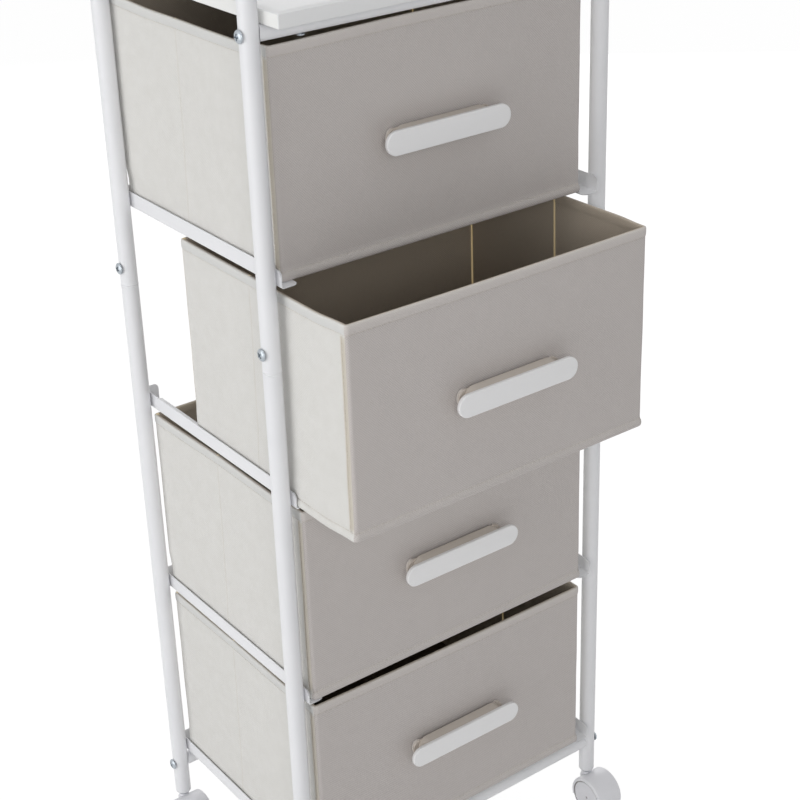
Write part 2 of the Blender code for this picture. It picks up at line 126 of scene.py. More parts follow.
def spread(length: float, marks: Iterable[float], step: float) -> list[float]:
    """Stations along a length: the given marks, with the gaps between them filled.

    Args:
        length: the length to cover.
        marks: stations to keep, besides both ends.
        step: the widest gap that is left.

    Returns:
        The stations in order, from 0 to length.
    """
    kept = sorted({0.0, length, *(round(m, 6) for m in marks if 0 < m < length)})
    stations = [kept[0]]
    for low, high in zip(kept, kept[1:]):
        parts = max(1, math.ceil((high - low) / step - 1e-6))
        stations += [low + (high - low) * i / parts for i in range(1, parts + 1)]
    return stations


def ellipse(across: float, upright: float, steps: int) -> list[tuple[float, float]]:
    """Points round an ellipse of two half-widths."""
    turns = [2 * math.pi * i / steps for i in range(steps)]
    return [(across * math.cos(a), upright * math.sin(a)) for a in turns]


def rounded_outline(half_x: float, half_y: float, radius: float, steps: int) -> list[tuple[float, float]]:
    """Points round a rectangle with rounded corners.

    Args:
        half_x: half its width.
        half_y: half its height.
        radius: its corners' radius; the lesser half gives a stadium.
        steps: facets in each corner.

    Returns:
        The points in order, anticlockwise.
    """
    points = []
    for corner, (sx, sy) in enumerate(((1, 1), (-1, 1), (-1, -1), (1, -1))):
        cx, cy = sx * (half_x - radius), sy * (half_y - radius)
        for i in range(steps + 1):
            a = math.pi / 2 * (corner + i / steps)
            points.append((cx + radius * math.cos(a), cy + radius * math.sin(a)))
    return points


def skin(rings: Sequence[Sequence[Vector]]) -> bmesh.types.BMesh:
    """Join rings of points with faces, and fill the first and the last ring.

    Args:
        rings: rings of equal count in order along the shape; one of a single point is a pole.

    Returns:
        A new mesh in the making, with its faces pointing out.
    """
    work = bmesh.new()
    made = [[work.verts.new(p) for p in ring] for ring in rings]
    for low, high in zip(made, made[1:]):
        count = max(len(low), len(high))
        for i in range(count):
            j = (i + 1) % count
            quad = [low[i % len(low)], low[j % len(low)], high[j % len(high)], high[i % len(high)]]
            work.faces.new(list(dict.fromkeys(quad)))
    for ring in (made[0], made[-1]):
        if len(ring) > 1:
            work.faces.new(ring)
    bmesh.ops.recalc_face_normals(work, faces=work.faces)
    return work


def lathe(profile: Sequence[tuple[float, float]], steps: int, turn: Matrix) -> bmesh.types.BMesh:
    """Turn a profile of (radius, height) points about Z, then set it in place.

    Args:
        profile: points along the shape; a radius of 0 closes it.
        steps: facets round the axis.
        turn: the matrix that takes the axis to its place.

    Returns:
        A new mesh in the making.
    """
    rings = []
    for radius, height in profile:
        flat = ellipse(radius, radius, steps) if radius > 1e-7 else [(0.0, 0.0)]
        rings.append([turn @ Vector((x, y, height)) for x, y in flat])
    return skin(rings)


def merge(*parts: bmesh.types.BMesh) -> bmesh.types.BMesh:
    """Put several meshes in the making into the first one.

    Args:
        parts: the meshes; all but the first are freed.

    Returns:
        The first mesh, which now holds all of them.
    """
    whole = parts[0]
    for part in parts[1:]:
        copy = bpy.data.meshes.new("part")
        part.to_mesh(copy)
        part.free()
        whole.from_mesh(copy)
        bpy.data.meshes.remove(copy)
    return whole


def rounded(work: bmesh.types.BMesh, width: float) -> bmesh.types.BMesh:
    """Round the sharp edges of a mesh in the making.

    Args:
        work: the mesh, which is changed.
        width: how far the rounding reaches from each edge.

    Returns:
        The same mesh.
    """
    limit = math.radians(ARRIS_ANGLE)
    edges = [e for e in work.edges if e.is_manifold and e.calc_face_angle() > limit]
    bmesh.ops.bevel(work, geom=edges, offset=width, segments=ARRIS_FACETS, profile=0.5, affect="EDGES",
                    clamp_overlap=True)
    return work


def finished(name: str, work: bmesh.types.BMesh, *materials: bpy.types.Material,
             sharp: float = CREASE) -> bpy.types.Object:
    """Make an object of a mesh in the making, with its finishes.

    Args:
        name: the piece's name.
        work: the mesh in the making, which is freed.
        materials: the finishes, by material index.
        sharp: the angle in degrees above which an edge stays sharp.

    Returns:
        The object, linked into the scene at the origin.
    """
    mesh = bpy.data.meshes.new(name)
    work.to_mesh(mesh)
    work.free()
    mesh.shade_smooth()
    mesh.set_sharp_from_angle(angle=math.radians(sharp))
    for material in materials:
        mesh.materials.append(material)
    piece = bpy.data.objects.new(name, mesh)
    bpy.context.scene.collection.objects.link(piece)
    return piece


def seat(piece: bpy.types.Object, body: str, slot: str, *nodes: str) -> None:
    """Let a piece ride on a body in place of the nodes it stands for, and report it.

    Args:
        piece: the finished piece.
        body: the body that carries it.
        slot: the record's material slot of its finish; not used.
        nodes: the solids that it replaces.
    """
    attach(piece, body)
    if nodes:
        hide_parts(*nodes)
    LOG.info("%s: %d faces on %s", piece.name, len(piece.data.polygons), body)


@dataclass(frozen=True)
class Finish:
    """A surface finish: a named material with its colour and gloss."""

    name: str
    colour: str
    roughness: float
    ior: float = 1.5

    def material(self) -> bpy.types.Material:
        """Make the finish's material on first use.

        Returns:
            The material of the finish's name.
        """
        made = bpy.data.materials.get(self.name)
        if made is None:
            made = bpy.data.materials.new(self.name)
            made.use_nodes = True
            shader = made.node_tree.nodes["Principled BSDF"]
            shader.inputs["Base Color"].default_value = linear(self.colour)
            shader.inputs["Roughness"].default_value = self.roughness
            shader.inputs["IOR"].default_value = self.ior
            self.dress(made.node_tree, shader)
        return made

    def dress(self, tree: bpy.types.NodeTree, shader: bpy.types.Node) -> None:
        """Add the finish's own pattern to its shader."""
        raise NotImplementedError


@dataclass(frozen=True)
class PowderCoat(Finish):
    """Baked polyester powder on steel: satin, with a faint orange peel and slightly uneven gloss."""

    peel: float = 3.0 * MM  # real orange peel is about 1.5 mm; drawn coarser so that it shows
    peel_bump: float = 0.12
    peel_depth: float = 0.4 * MM
    gloss_swing: tuple[float, float] = (-0.05, 0.07)  # least and greatest change of roughness
    cloud: float = 60 * MM
    cloud_colour: str = "#E4E5E8"

    def dress(self, tree: bpy.types.NodeTree, shader: bpy.types.Node) -> None:
        """Cloud the white a little, vary the gloss and add the peel.

        Args:
            tree: the material's node tree.
            shader: its principled shader.
        """
        place = add_node(tree, "ShaderNodeTexCoord").outputs["Object"]
        cloud = add_node(tree, "ShaderNodeTexNoise", None,
                         {"Vector": place, "Scale": 1 / self.cloud, "Detail": 3.0})
        tint = add_node(tree, "ShaderNodeMix", {"data_type": "RGBA"},
                        {0: cloud.outputs["Fac"], 6: linear(self.colour), 7: linear(self.cloud_colour)})
        tree.links.new(tint.outputs[2], shader.inputs["Base Color"])
        peel = add_node(tree, "ShaderNodeTexNoise", None,
                        {"Vector": place, "Scale": 1 / self.peel, "Detail": 2.0})
        least, most = (self.roughness + swing for swing in self.gloss_swing)
        gloss = add_node(tree, "ShaderNodeMapRange", None, {"Value": peel.outputs["Fac"], 3: least, 4: most})
        tree.links.new(gloss.outputs["Result"], shader.inputs["Roughness"])
        bump = add_node(tree, "ShaderNodeBump", None,
                        {"Height": peel.outputs["Fac"], "Strength": self.peel_bump,
                         "Distance": self.peel_depth})
        tree.links.new(bump.outputs["Normal"], shader.inputs["Normal"])


@dataclass(frozen=True)
class MelamineFace(Finish):
    """Melamine paper pressed on board: matt white with a fine pearl embossing."""

    pearl: float = 2.2 * MM  # the real pearl is about 0.5 mm; drawn coarser so that it shows
    pearl_bump: float = 0.1
    pearl_depth: float = 0.3 * MM
    cloud: float = 90 * MM
    cloud_colour: str = "#E2E3E4"

    def dress(self, tree: bpy.types.NodeTree, shader: bpy.types.Node) -> None:
        """Emboss the face and let its white vary a little.

        Args:
            tree: the material's node tree.
            shader: its principled shader.
        """
        place = add_node(tree, "ShaderNodeTexCoord").outputs["Object"]
        cloud = add_node(tree, "ShaderNodeTexNoise", None,
                         {"Vector": place, "Scale": 1 / self.cloud, "Detail": 4.0})
        tint = add_node(tree, "ShaderNodeMix", {"data_type": "RGBA"},
                        {0: cloud.outputs["Fac"], 6: linear(self.colour), 7: linear(self.cloud_colour)})
        tree.links.new(tint.outputs[2], shader.inputs["Base Color"])
        pearl = add_node(tree, "ShaderNodeTexVoronoi", {"feature": "SMOOTH_F1"},
                         {"Vector": place, "Scale": 1 / self.pearl})
        bump = add_node(tree, "ShaderNodeBump", None,
                        {"Height": pearl.outputs["Distance"], "Strength": self.pearl_bump,
                         "Distance": self.pearl_depth})
        tree.links.new(bump.outputs["Normal"], shader.inputs["Normal"])


@dataclass(frozen=True)
class ZincPlate(Finish):
    """Bright zinc plating on a steel screw: bluish metal with patchy gloss."""

    patch: float = 1.6 * MM
    patch_colour: str = "#8F979E"
    gloss_swing: tuple[float, float] = (-0.1, 0.15)  # least and greatest change of roughness

    def dress(self, tree: bpy.types.NodeTree, shader: bpy.types.Node) -> None:
        """Make it metal, and mottle its colour and gloss.

        Args:
            tree: the material's node tree.
            shader: its principled shader.
        """
        shader.inputs["Metallic"].default_value = 1.0
        place = add_node(tree, "ShaderNodeTexCoord").outputs["Object"]
        patch = add_node(tree, "ShaderNodeTexNoise", None,
                         {"Vector": place, "Scale": 1 / self.patch, "Detail": 3.0})
        tint = add_node(tree, "ShaderNodeMix", {"data_type": "RGBA"},
                        {0: patch.outputs["Fac"], 6: linear(self.colour), 7: linear(self.patch_colour)})
        tree.links.new(tint.outputs[2], shader.inputs["Base Color"])
        least, most = (self.roughness + swing for swing in self.gloss_swing)
        gloss = add_node(tree, "ShaderNodeMapRange", None, {"Value": patch.outputs["Fac"], 3: least, 4: most})
        tree.links.new(gloss.outputs["Result"], shader.inputs["Roughness"])


@dataclass(frozen=True)
class NonWoven(Finish):
    """Point-bonded polypropylene felt: matt fibres with a lattice of small pressed dots."""

    shade: str = "#A09A93"  # colour of the pressed dots and of the thinner patches
    seam: str = "#A8977C"  # painted shade where a seam pulls the cloth into a groove, in a crease and beside a front corner
    fold: str = "#E9E4DD"  # painted highlight along a folded edge
    hem: str = "#D3CDC9"  # the hem's doubled cloth, whose dots hardly show
    dot_pitch: float = 1.9 * MM
    dot_share: float = 0.5  # how strongly the dots show
    dot_dent: float = 0.8  # how deep they are, in heights of the fibres
    fibre: float = 1.1 * MM  # real fibres are 0.02 mm; drawn as coarse clumps so that they show
    clumps: float = 0.3  # how strongly the fibres show
    blotch: float = 18 * MM
    mottle: float = 0.0  # how strongly the blotches tint the cloth
    pucker: float = 2.8 * MM  # spacing of the small puckers along a line of stitches
    pucker_rise: float = 14.0  # how high they are, in heights of the fibres
    bump: float = 0.3
    bump_depth: float = 0.5 * MM
    turn: tuple[float, float, float] = TO_FRONT  # brings the panel's plane to the lattice
    sheen: float = 0.12
    sheen_spread: float = 0.6
    shine: float = 0.25  # how much of a plain plastic's mirror shine is left
    glow: float = 0.0  # stands for the daylight that comes through where no card backs the cloth
    glow_colour: str = "#E0C795"

    def dress(self, tree: bpy.types.NodeTree, shader: bpy.types.Node) -> None:
        """Press the dots, lay the fibres, cloud the colour, tint the hem, paint the sewing's shade and
        highlights, and gather the seams.

        Args:
            tree: the material's node tree.
            shader: its principled shader.
        """
        shader.inputs["Sheen Weight"].default_value = self.sheen
        shader.inputs["Sheen Roughness"].default_value = self.sheen_spread
        shader.inputs["Specular IOR Level"].default_value = self.shine
        shader.inputs["Emission Color"].default_value = linear(self.glow_colour)
        shader.inputs["Emission Strength"].default_value = self.glow
        place = add_node(tree, "ShaderNodeTexCoord").outputs["Object"]
        plane = add_node(tree, "ShaderNodeMapping", {"vector_type": "POINT"},
                         {"Vector": place, "Rotation": self.turn, "Scale": (1 / self.dot_pitch,) * 3})
        dots = add_node(tree, "ShaderNodeTexVoronoi", {"voronoi_dimensions": "2D", "feature": "F1"},
                        {"Vector": plane.outputs["Vector"], "Scale": 1.0, "Randomness": 0.0})
        press = add_node(tree, "ShaderNodeMapRange", {"interpolation_type": "SMOOTHSTEP"},
                         {"Value": dots.outputs["Distance"], 1: 0.18, 2: 0.5, 3: 1.0, 4: 0.0})
        blotch = add_node(tree, "ShaderNodeTexNoise", None,
                          {"Vector": place, "Scale": 1 / self.blotch, "Detail": 4.0, "Roughness": 0.55})
        patch = add_node(tree, "ShaderNodeMapRange", None,
                         {"Value": blotch.outputs["Fac"], 1: 0.3, 2: 0.7, 3: 0.75, 4: 1.0})
        shown = add_node(tree, "ShaderNodeMath", {"operation": "MULTIPLY"},
                         {0: press.outputs["Result"], 1: patch.outputs["Result"]})
        fibre = add_node(tree, "ShaderNodeTexNoise", None,
                         {"Vector": place, "Scale": 1 / self.fibre, "Detail": 3.0, "Roughness": 0.7})
        clump = add_node(tree, "ShaderNodeMath", {"operation": "MULTIPLY_ADD"},
                         {0: fibre.outputs["Fac"], 1: 2 * self.clumps, 2: -0.7 * self.clumps})
        stain = add_node(tree, "ShaderNodeMapRange", None,
                         {"Value": blotch.outputs["Fac"], 1: 0.35, 2: 0.65,
                          3: -0.2 * self.mottle, 4: self.mottle})
        grain = add_node(tree, "ShaderNodeMath", {"operation": "ADD"},
                         {0: clump.outputs["Value"], 1: stain.outputs["Result"]})
        mark = add_node(tree, "ShaderNodeMath", {"operation": "MULTIPLY_ADD", "use_clamp": True},
                        {0: shown.outputs["Value"], 1: self.dot_share, 2: grain.outputs["Value"]})
        tint = add_node(tree, "ShaderNodeMix", {"data_type": "RGBA"},
                        {0: mark.outputs["Value"], 6: linear(self.colour), 7: linear(self.shade)})
        # hem flattens the dots to the hem band's tone; seam paints shade and fold paints highlight.
        for name, colour in (("hem", self.hem), ("seam", self.seam), ("fold", self.fold)):
            share = add_node(tree, "ShaderNodeAttribute", {"attribute_name": name})
            tint = add_node(tree, "ShaderNodeMix", {"data_type": "RGBA"},
                            {0: share.outputs["Fac"], 6: tint.outputs[2], 7: linear(colour)})
        tree.links.new(tint.outputs[2], shader.inputs["Base Color"])
        relief = add_node(tree, "ShaderNodeMath", {"operation": "MULTIPLY_ADD"},
                          {0: press.outputs["Result"], 1: -self.dot_dent, 2: fibre.outputs["Fac"]})
        stitch = add_node(tree, "ShaderNodeTexNoise", None, {"Vector": place, "Scale": 1 / self.pucker})
        drawn = add_node(tree, "ShaderNodeAttribute", {"attribute_name": "pucker"})
        gather = add_node(tree, "ShaderNodeMath", {"operation": "MULTIPLY"},
                          {0: stitch.outputs["Fac"], 1: drawn.outputs["Fac"]})
        height = add_node(tree, "ShaderNodeMath", {"operation": "MULTIPLY_ADD"},
                          {0: gather.outputs["Value"], 1: self.pucker_rise, 2: relief.outputs["Value"]})
        bump = add_node(tree, "ShaderNodeBump", None,
                        {"Height": height.outputs["Value"], "Strength": self.bump,
                         "Distance": self.bump_depth})
        tree.links.new(bump.outputs["Normal"], shader.inputs["Normal"])


@dataclass(frozen=True)
class Moulded(Finish):
    """Injection-moulded plastic: satin white with a fine spark-eroded grain, tinted where it wears and where
    shade and reflection are painted.
    """

    grain: float = 1.0 * MM  # the real grain is about 0.1 mm; drawn coarser so that it shows
    grain_bump: float = 0.08
    grain_depth: float = 0.3 * MM
    cloud: float = 14 * MM
    # Colour of wear, and of painted shade and reflection where a piece paints them; the next field is how
    # strongly random clouds tint towards it.
    worn_and_shaded: str = "#C9C9CC"
    wear_and_shade: float = 0.25

    def dress(self, tree: bpy.types.NodeTree, shader: bpy.types.Node) -> None:
        """Grain the surface, and tint it where the piece's attribute of wear and painted shade says so.

        Args:
            tree: the material's node tree.
            shader: its principled shader.
        """
        place = add_node(tree, "ShaderNodeTexCoord").outputs["Object"]
        cloud = add_node(tree, "ShaderNodeTexNoise", None,
                         {"Vector": place, "Scale": 1 / self.cloud, "Detail": 4.0})
        worn_and_shaded = add_node(tree, "ShaderNodeAttribute", {"attribute_name": "wear_and_shade"})
        share = add_node(tree, "ShaderNodeMath", {"operation": "MULTIPLY_ADD", "use_clamp": True},
                         {0: cloud.outputs["Fac"], 1: self.wear_and_shade, 2: worn_and_shaded.outputs["Fac"]})
        tint = add_node(tree, "ShaderNodeMix", {"data_type": "RGBA"},
                        {0: share.outputs["Value"], 6: linear(self.colour), 7: linear(self.worn_and_shaded)})
        tree.links.new(tint.outputs[2], shader.inputs["Base Color"])
        grain = add_node(tree, "ShaderNodeTexNoise", None,
                         {"Vector": place, "Scale": 1 / self.grain, "Detail": 2.0})
        bump = add_node(tree, "ShaderNodeBump", None,
                        {"Height": grain.outputs["Fac"], "Strength": self.grain_bump,
                         "Distance": self.grain_depth})
        tree.links.new(bump.outputs["Normal"], shader.inputs["Normal"])


@dataclass(frozen=True)
class SpunThread(Finish):
    """Spun polyester sewing thread: two plies twisted together, slightly glossy."""

    twist: float = 1.2 * MM
    waves: int = 3  # a diagonal wave texture of scale 1 has about three waves in a unit
    shade: str = "#B5AEA4"

    def dress(self, tree: bpy.types.NodeTree, shader: bpy.types.Node) -> None:
        """Stripe the thread with its twist.

        Args:
            tree: the material's node tree.
            shader: its principled shader.
        """
        place = add_node(tree, "ShaderNodeTexCoord").outputs["Object"]
        twist = add_node(tree, "ShaderNodeTexWave", {"bands_direction": "DIAGONAL"},
                         {"Vector": place, "Scale": 1 / self.twist / self.waves, "Distortion": 1.0})
        tint = add_node(tree, "ShaderNodeMix", {"data_type": "RGBA"},
                        {0: twist.outputs["Fac"], 6: linear(self.colour), 7: linear(self.shade)})
        tree.links.new(tint.outputs[2], shader.inputs["Base Color"])


# A smooth satin white, with soft highlights along the tubes.
FRAME_WHITE = PowderCoat("white_powder_coat", "#ECECEE", 0.4)
# A flat white, duller than the tubes'.
BOARD_WHITE = MelamineFace("white_melamine_board", "#E9E9E9", 0.45)
# A slightly warmer and brighter white on the board's ends.
EDGE_BAND = MelamineFace("white_edge_band", "#F3F3EE", 0.4)
# Small cool glints that set the screws off from the white round them.
ZINC = ZincPlate("bright_zinc_plate", "#C3C9CE", 0.3)
# A warm matt grey, finely dotted from near and even from afar.
FRONT_CLOTH = NonWoven("taupe_front_felt", "#D1CBC8", 0.92, shade="#A19B98", dot_share=0.42, turn=TO_FRONT)
# A pale cream with a mottle, on which painted shade shows tan in the seams and creases.
SIDE_CLOTH = NonWoven("cream_side_felt", "#E1E0DD", 0.92, shade="#CCCAC4", seam="#B9A98C", fold="#EDEBE6",
                      hem="#D0D1D0", dot_share=0.25, clumps=0.5, blotch=14 * MM, mottle=0.12, turn=TO_SIDE)
# A dull warm tan that goes brown in the depth of a drawer.
LINING_CLOTH = NonWoven("warm_lining_felt", "#C5B9A9", 0.95, shade="#A89C8C", dot_share=0.3, turn=TO_FRONT)
SIDE_LINING = replace(LINING_CLOTH, name="warm_side_lining_felt", turn=TO_SIDE)
# Thin bright lines inside, where the cloth alone closes a fold or a corner: a painted glow that stands for
# daylight through the cloth.
FOLD_CLOTH = NonWoven("unbacked_fold_felt", "#D8C9A8", 0.95, shade="#C9B992", dot_share=0.2,
                      turn=TO_SIDE, glow=0.22)
# A dark floor that makes the drawer look deep.
CARD_COVER = NonWoven("brown_card_cover_felt", "#65584A", 0.95, shade="#51463A", dot_share=0.4, turn=TO_FLOOR)
# A clean white plate, and behind it, next to the cloth, a warmer white: painted warm shade and reflection of
# the cloth.
PULL_WHITE = Moulded("white_pull_abs", "#F0F0F1", 0.42, 1.53, worn_and_shaded="#BFB3A5", wear_and_shade=0.05)
# A smooth, slightly cool white with a soft highlight on the crown.
HOOD_WHITE = Moulded("white_caster_polypropylene", "#ECECF0", 0.4, 1.49)
# A duller white that greys with wear at the tread, with painted shade in the groove beside it, and round the
# pin's hole.
WHEEL_WHITE = Moulded("white_wheel_nylon", "#E6E6EB", 0.45, 1.53, worn_and_shaded="#A9A7A4")
# Fine pale dashes along the seams.
THREAD = SpunThread("cream_sewing_thread", "#D6D0C7", 0.7)


class NodeShape:
    """A geometry node tree with named inputs, whose result is kept as a plain mesh."""

    name = "node_shape"
    inputs: tuple[tuple[str, str], ...] = ()

    def __init__(self, material: bpy.types.Material) -> None:
        """Build the tree for one finish.

        Args:
            material: the finish that its results get.
        """
        self.tree = bpy.data.node_groups.new(self.name, "GeometryNodeTree")
        self.keys: dict[str, str] = {}
        faces = self.tree.interface
        faces.new_socket("Geometry", in_out="INPUT", socket_type="NodeSocketGeometry")
        for title, kind in self.inputs:
            socket = faces.new_socket(title, in_out="INPUT", socket_type=f"NodeSocket{kind}")
            self.keys[title] = socket.identifier
        faces.new_socket("Geometry", in_out="OUTPUT", socket_type="NodeSocketGeometry")
        given = self.tree.nodes.new("NodeGroupInput").outputs
        solid = add_node(self.tree, "GeometryNodeRealizeInstances", None, {"Geometry": self.shape(given)})
        soft = add_node(self.tree, "GeometryNodeSetShadeSmooth", None,
                        {"Geometry": solid.outputs["Geometry"]})
        dressed = add_node(self.tree, "GeometryNodeSetMaterial", None,
                           {"Geometry": soft.outputs["Geometry"], "Material": material})
        add_node(self.tree, "NodeGroupOutput", None, {"Geometry": dressed.outputs["Geometry"]})

    def shape(self, given: bpy.types.bpy_prop_collection) -> bpy.types.NodeSocket:
        """Build the tree's own part, from its inputs to the geometry that it makes."""
        raise NotImplementedError

    def piece(self, name: str, guide: bpy.types.Mesh, sizes: dict[str, Any]) -> bpy.types.Object:
        """Run the tree on a guide mesh.

        Args:
            name: the new piece's name.
            guide: the lines or points that the shape follows, which is removed.
            sizes: a value for each named input.

        Returns:
            The result as an object with a plain mesh.
        """
        carrier = bpy.data.objects.new(f"{name}_guide", guide)
        bpy.context.scene.collection.objects.link(carrier)
        modifier = carrier.modifiers.new(self.name, "NODES")
        modifier.node_group = self.tree
        for title, value in sizes.items():
            modifier[self.keys[title]] = value
        graph = bpy.context.evaluated_depsgraph_get()
        mesh = bpy.data.meshes.new_from_object(carrier.evaluated_get(graph))
        bpy.data.objects.remove(carrier, do_unlink=True)
        bpy.data.meshes.remove(guide)
        mesh.name = name
        mesh.set_sharp_from_angle(angle=math.radians(CREASE))
        made = bpy.data.objects.new(name, mesh)
        bpy.context.scene.collection.objects.link(made)
        return made


class BentTube(NodeShape):
    """A round tube along a line of straight runs, with its corners bent to one radius."""

    name = "bent_tube"
    inputs = (("Radius", "Float"), ("Bend Radius", "Float"), ("Facets", "Int"), ("Bend Steps", "Int"))

    def shape(self, given: bpy.types.bpy_prop_collection) -> bpy.types.NodeSocket:
        """Turn the line to a curve, bend its corners and run a circle along it.

        Args:
            given: the tree's inputs.

        Returns:
            The tube.
        """
        line = add_node(self.tree, "GeometryNodeMeshToCurve", None, {"Mesh": given["Geometry"]})
        bent = add_node(self.tree, "GeometryNodeFilletCurve", {"mode": "POLY"},
                        {"Curve": line.outputs["Curve"], "Count": given["Bend Steps"],
                         "Radius": given["Bend Radius"], "Limit Radius": True})
        circle = add_node(self.tree, "GeometryNodeCurvePrimitiveCircle", {"mode": "RADIUS"},
                          {"Resolution": given["Facets"], "Radius": given["Radius"]})
        swept = add_node(self.tree, "GeometryNodeCurveToMesh", None,
                         {"Curve": bent.outputs["Curve"], "Profile Curve": circle.outputs["Curve"],
                          "Fill Caps": True})
        return swept.outputs["Mesh"]


class StitchRow(NodeShape):
    """Rows of lockstitches along seam lines."""

    name = "stitch_row"
    inputs = (("Pitch", "Float"), ("Length", "Float"), ("Thickness", "Float"))
    swing = (0.85, 1.05)  # least and greatest share of a stitch's nominal size
    seed = 11

    def shape(self, given: bpy.types.bpy_prop_collection) -> bpy.types.NodeSocket:
        """Lay a small spindle of thread at each step along the lines.

        Args:
            given: the tree's inputs.

        Returns:
            The stitches.
        """
        line = add_node(self.tree, "GeometryNodeMeshToCurve", None, {"Mesh": given["Geometry"]})
        steps = add_node(self.tree, "GeometryNodeResampleCurve", {"mode": "LENGTH"},
                         {"Curve": line.outputs["Curve"], "Length": given["Pitch"]})
        bead = add_node(self.tree, "GeometryNodeMeshUVSphere", None,
                        {"Segments": 6, "Rings": 4, "Radius": 0.5})
        size = add_node(self.tree, "ShaderNodeCombineXYZ", None,
                        {"X": given["Thickness"], "Y": given["Thickness"], "Z": given["Length"]})
        ahead = add_node(self.tree, "FunctionNodeAlignRotationToVector", {"axis": "Z"},
                         {"Vector": add_node(self.tree, "GeometryNodeInputTangent").outputs["Tangent"]})
        vary = add_node(self.tree, "FunctionNodeRandomValue", {"data_type": "FLOAT"},
                        {2: self.swing[0], 3: self.swing[1], "Seed": self.seed})
        scale = add_node(self.tree, "ShaderNodeVectorMath", {"operation": "SCALE"},
                         {0: size.outputs["Vector"], "Scale": vary.outputs[1]})
        laid = add_node(self.tree, "GeometryNodeInstanceOnPoints", None,
                        {"Points": steps.outputs["Curve"], "Instance": bead.outputs["Mesh"],
                         "Rotation": ahead.outputs["Rotation"], "Scale": scale.outputs["Vector"]})
        return laid.outputs["Instances"]


class ScrewHeads(NodeShape):
    """Pan heads with a cross recess, set at points that carry the way they face and their width."""

    name = "screw_heads"
    inputs = (("Head", "Object"), ("Recess Length", "Float"), ("Recess Width", "Float"),
              ("Recess Depth", "Float"))
    seed = 5

    def shape(self, given: bpy.types.bpy_prop_collection) -> bpy.types.NodeSocket:
        """Cut the cross into the turned head, and set a copy at each point.

        Args:
            given: the tree's inputs.

        Returns:
            The heads, each turned about its axis by chance.
        """
        head = add_node(self.tree, "GeometryNodeObjectInfo", None, {"Object": given["Head"]})
        cut = head.outputs["Geometry"]
        for along, across in (("X", "Y"), ("Y", "X")):
            size = add_node(self.tree, "ShaderNodeCombineXYZ", None,
                            {along: given["Recess Length"], across: given["Recess Width"],
                             "Z": given["Recess Depth"]})
            arm = add_node(self.tree, "GeometryNodeMeshCube", None, {"Size": size.outputs["Vector"]})
            up = add_node(self.tree, "GeometryNodeTransform", None,
                          {"Geometry": arm.outputs["Mesh"], "Translation": (0.0, 0.0, HEAD_RISE)})
            carved = add_node(self.tree, "GeometryNodeMeshBoolean",
                              {"operation": "DIFFERENCE", "solver": "EXACT"},
                              {"Mesh 1": cut, "Mesh 2": up.outputs["Geometry"]})
            cut = carved.outputs["Mesh"]
        faces = add_node(self.tree, "GeometryNodeInputNamedAttribute", {"data_type": "FLOAT_VECTOR"},
                         {"Name": "faces"})
        width = add_node(self.tree, "GeometryNodeInputNamedAttribute", {"data_type": "FLOAT"},
                         {"Name": "width"})
        outwards = add_node(self.tree, "FunctionNodeAlignRotationToVector", {"axis": "Z"},
                            {"Vector": faces.outputs["Attribute"]})
        turn = add_node(self.tree, "FunctionNodeRandomValue", {"data_type": "FLOAT"},
                        {2: 0.0, 3: math.pi / 2, "Seed": self.seed})
        spin = add_node(self.tree, "FunctionNodeAxisAngleToRotation", None,
                        {"Axis": (0.0, 0.0, 1.0), "Angle": turn.outputs[1]})
        set_in = add_node(self.tree, "FunctionNodeRotateRotation", {"rotation_space": "LOCAL"},
                          {"Rotation": outwards.outputs["Rotation"], "Rotate By": spin.outputs["Rotation"]})
        points = add_node(self.tree, "GeometryNodeMeshToPoints", None, {"Mesh": given["Geometry"]})
        laid = add_node(self.tree, "GeometryNodeInstanceOnPoints", None,
                        {"Points": points.outputs["Points"], "Instance": cut,
                         "Rotation": set_in.outputs["Rotation"], "Scale": width.outputs["Attribute"]})
        return laid.outputs["Instances"]


def lines_mesh(name: str, lines: Sequence[Sequence[Vector]]) -> bpy.types.Mesh:
    """Make a mesh of loose edges along lines of points.

    Args:
        name: the mesh's name.
        lines: the points along each line; a line of one point stays a point.

    Returns:
        The mesh, on no object yet.
    """
    points = [p for line in lines for p in line]
    edges, start = [], 0
    for line in lines:
        edges += [(start + i, start + i + 1) for i in range(len(line) - 1)]
        start += len(line)
    mesh = bpy.data.meshes.new(name)
    mesh.from_pydata(points, edges, [])
    return mesh


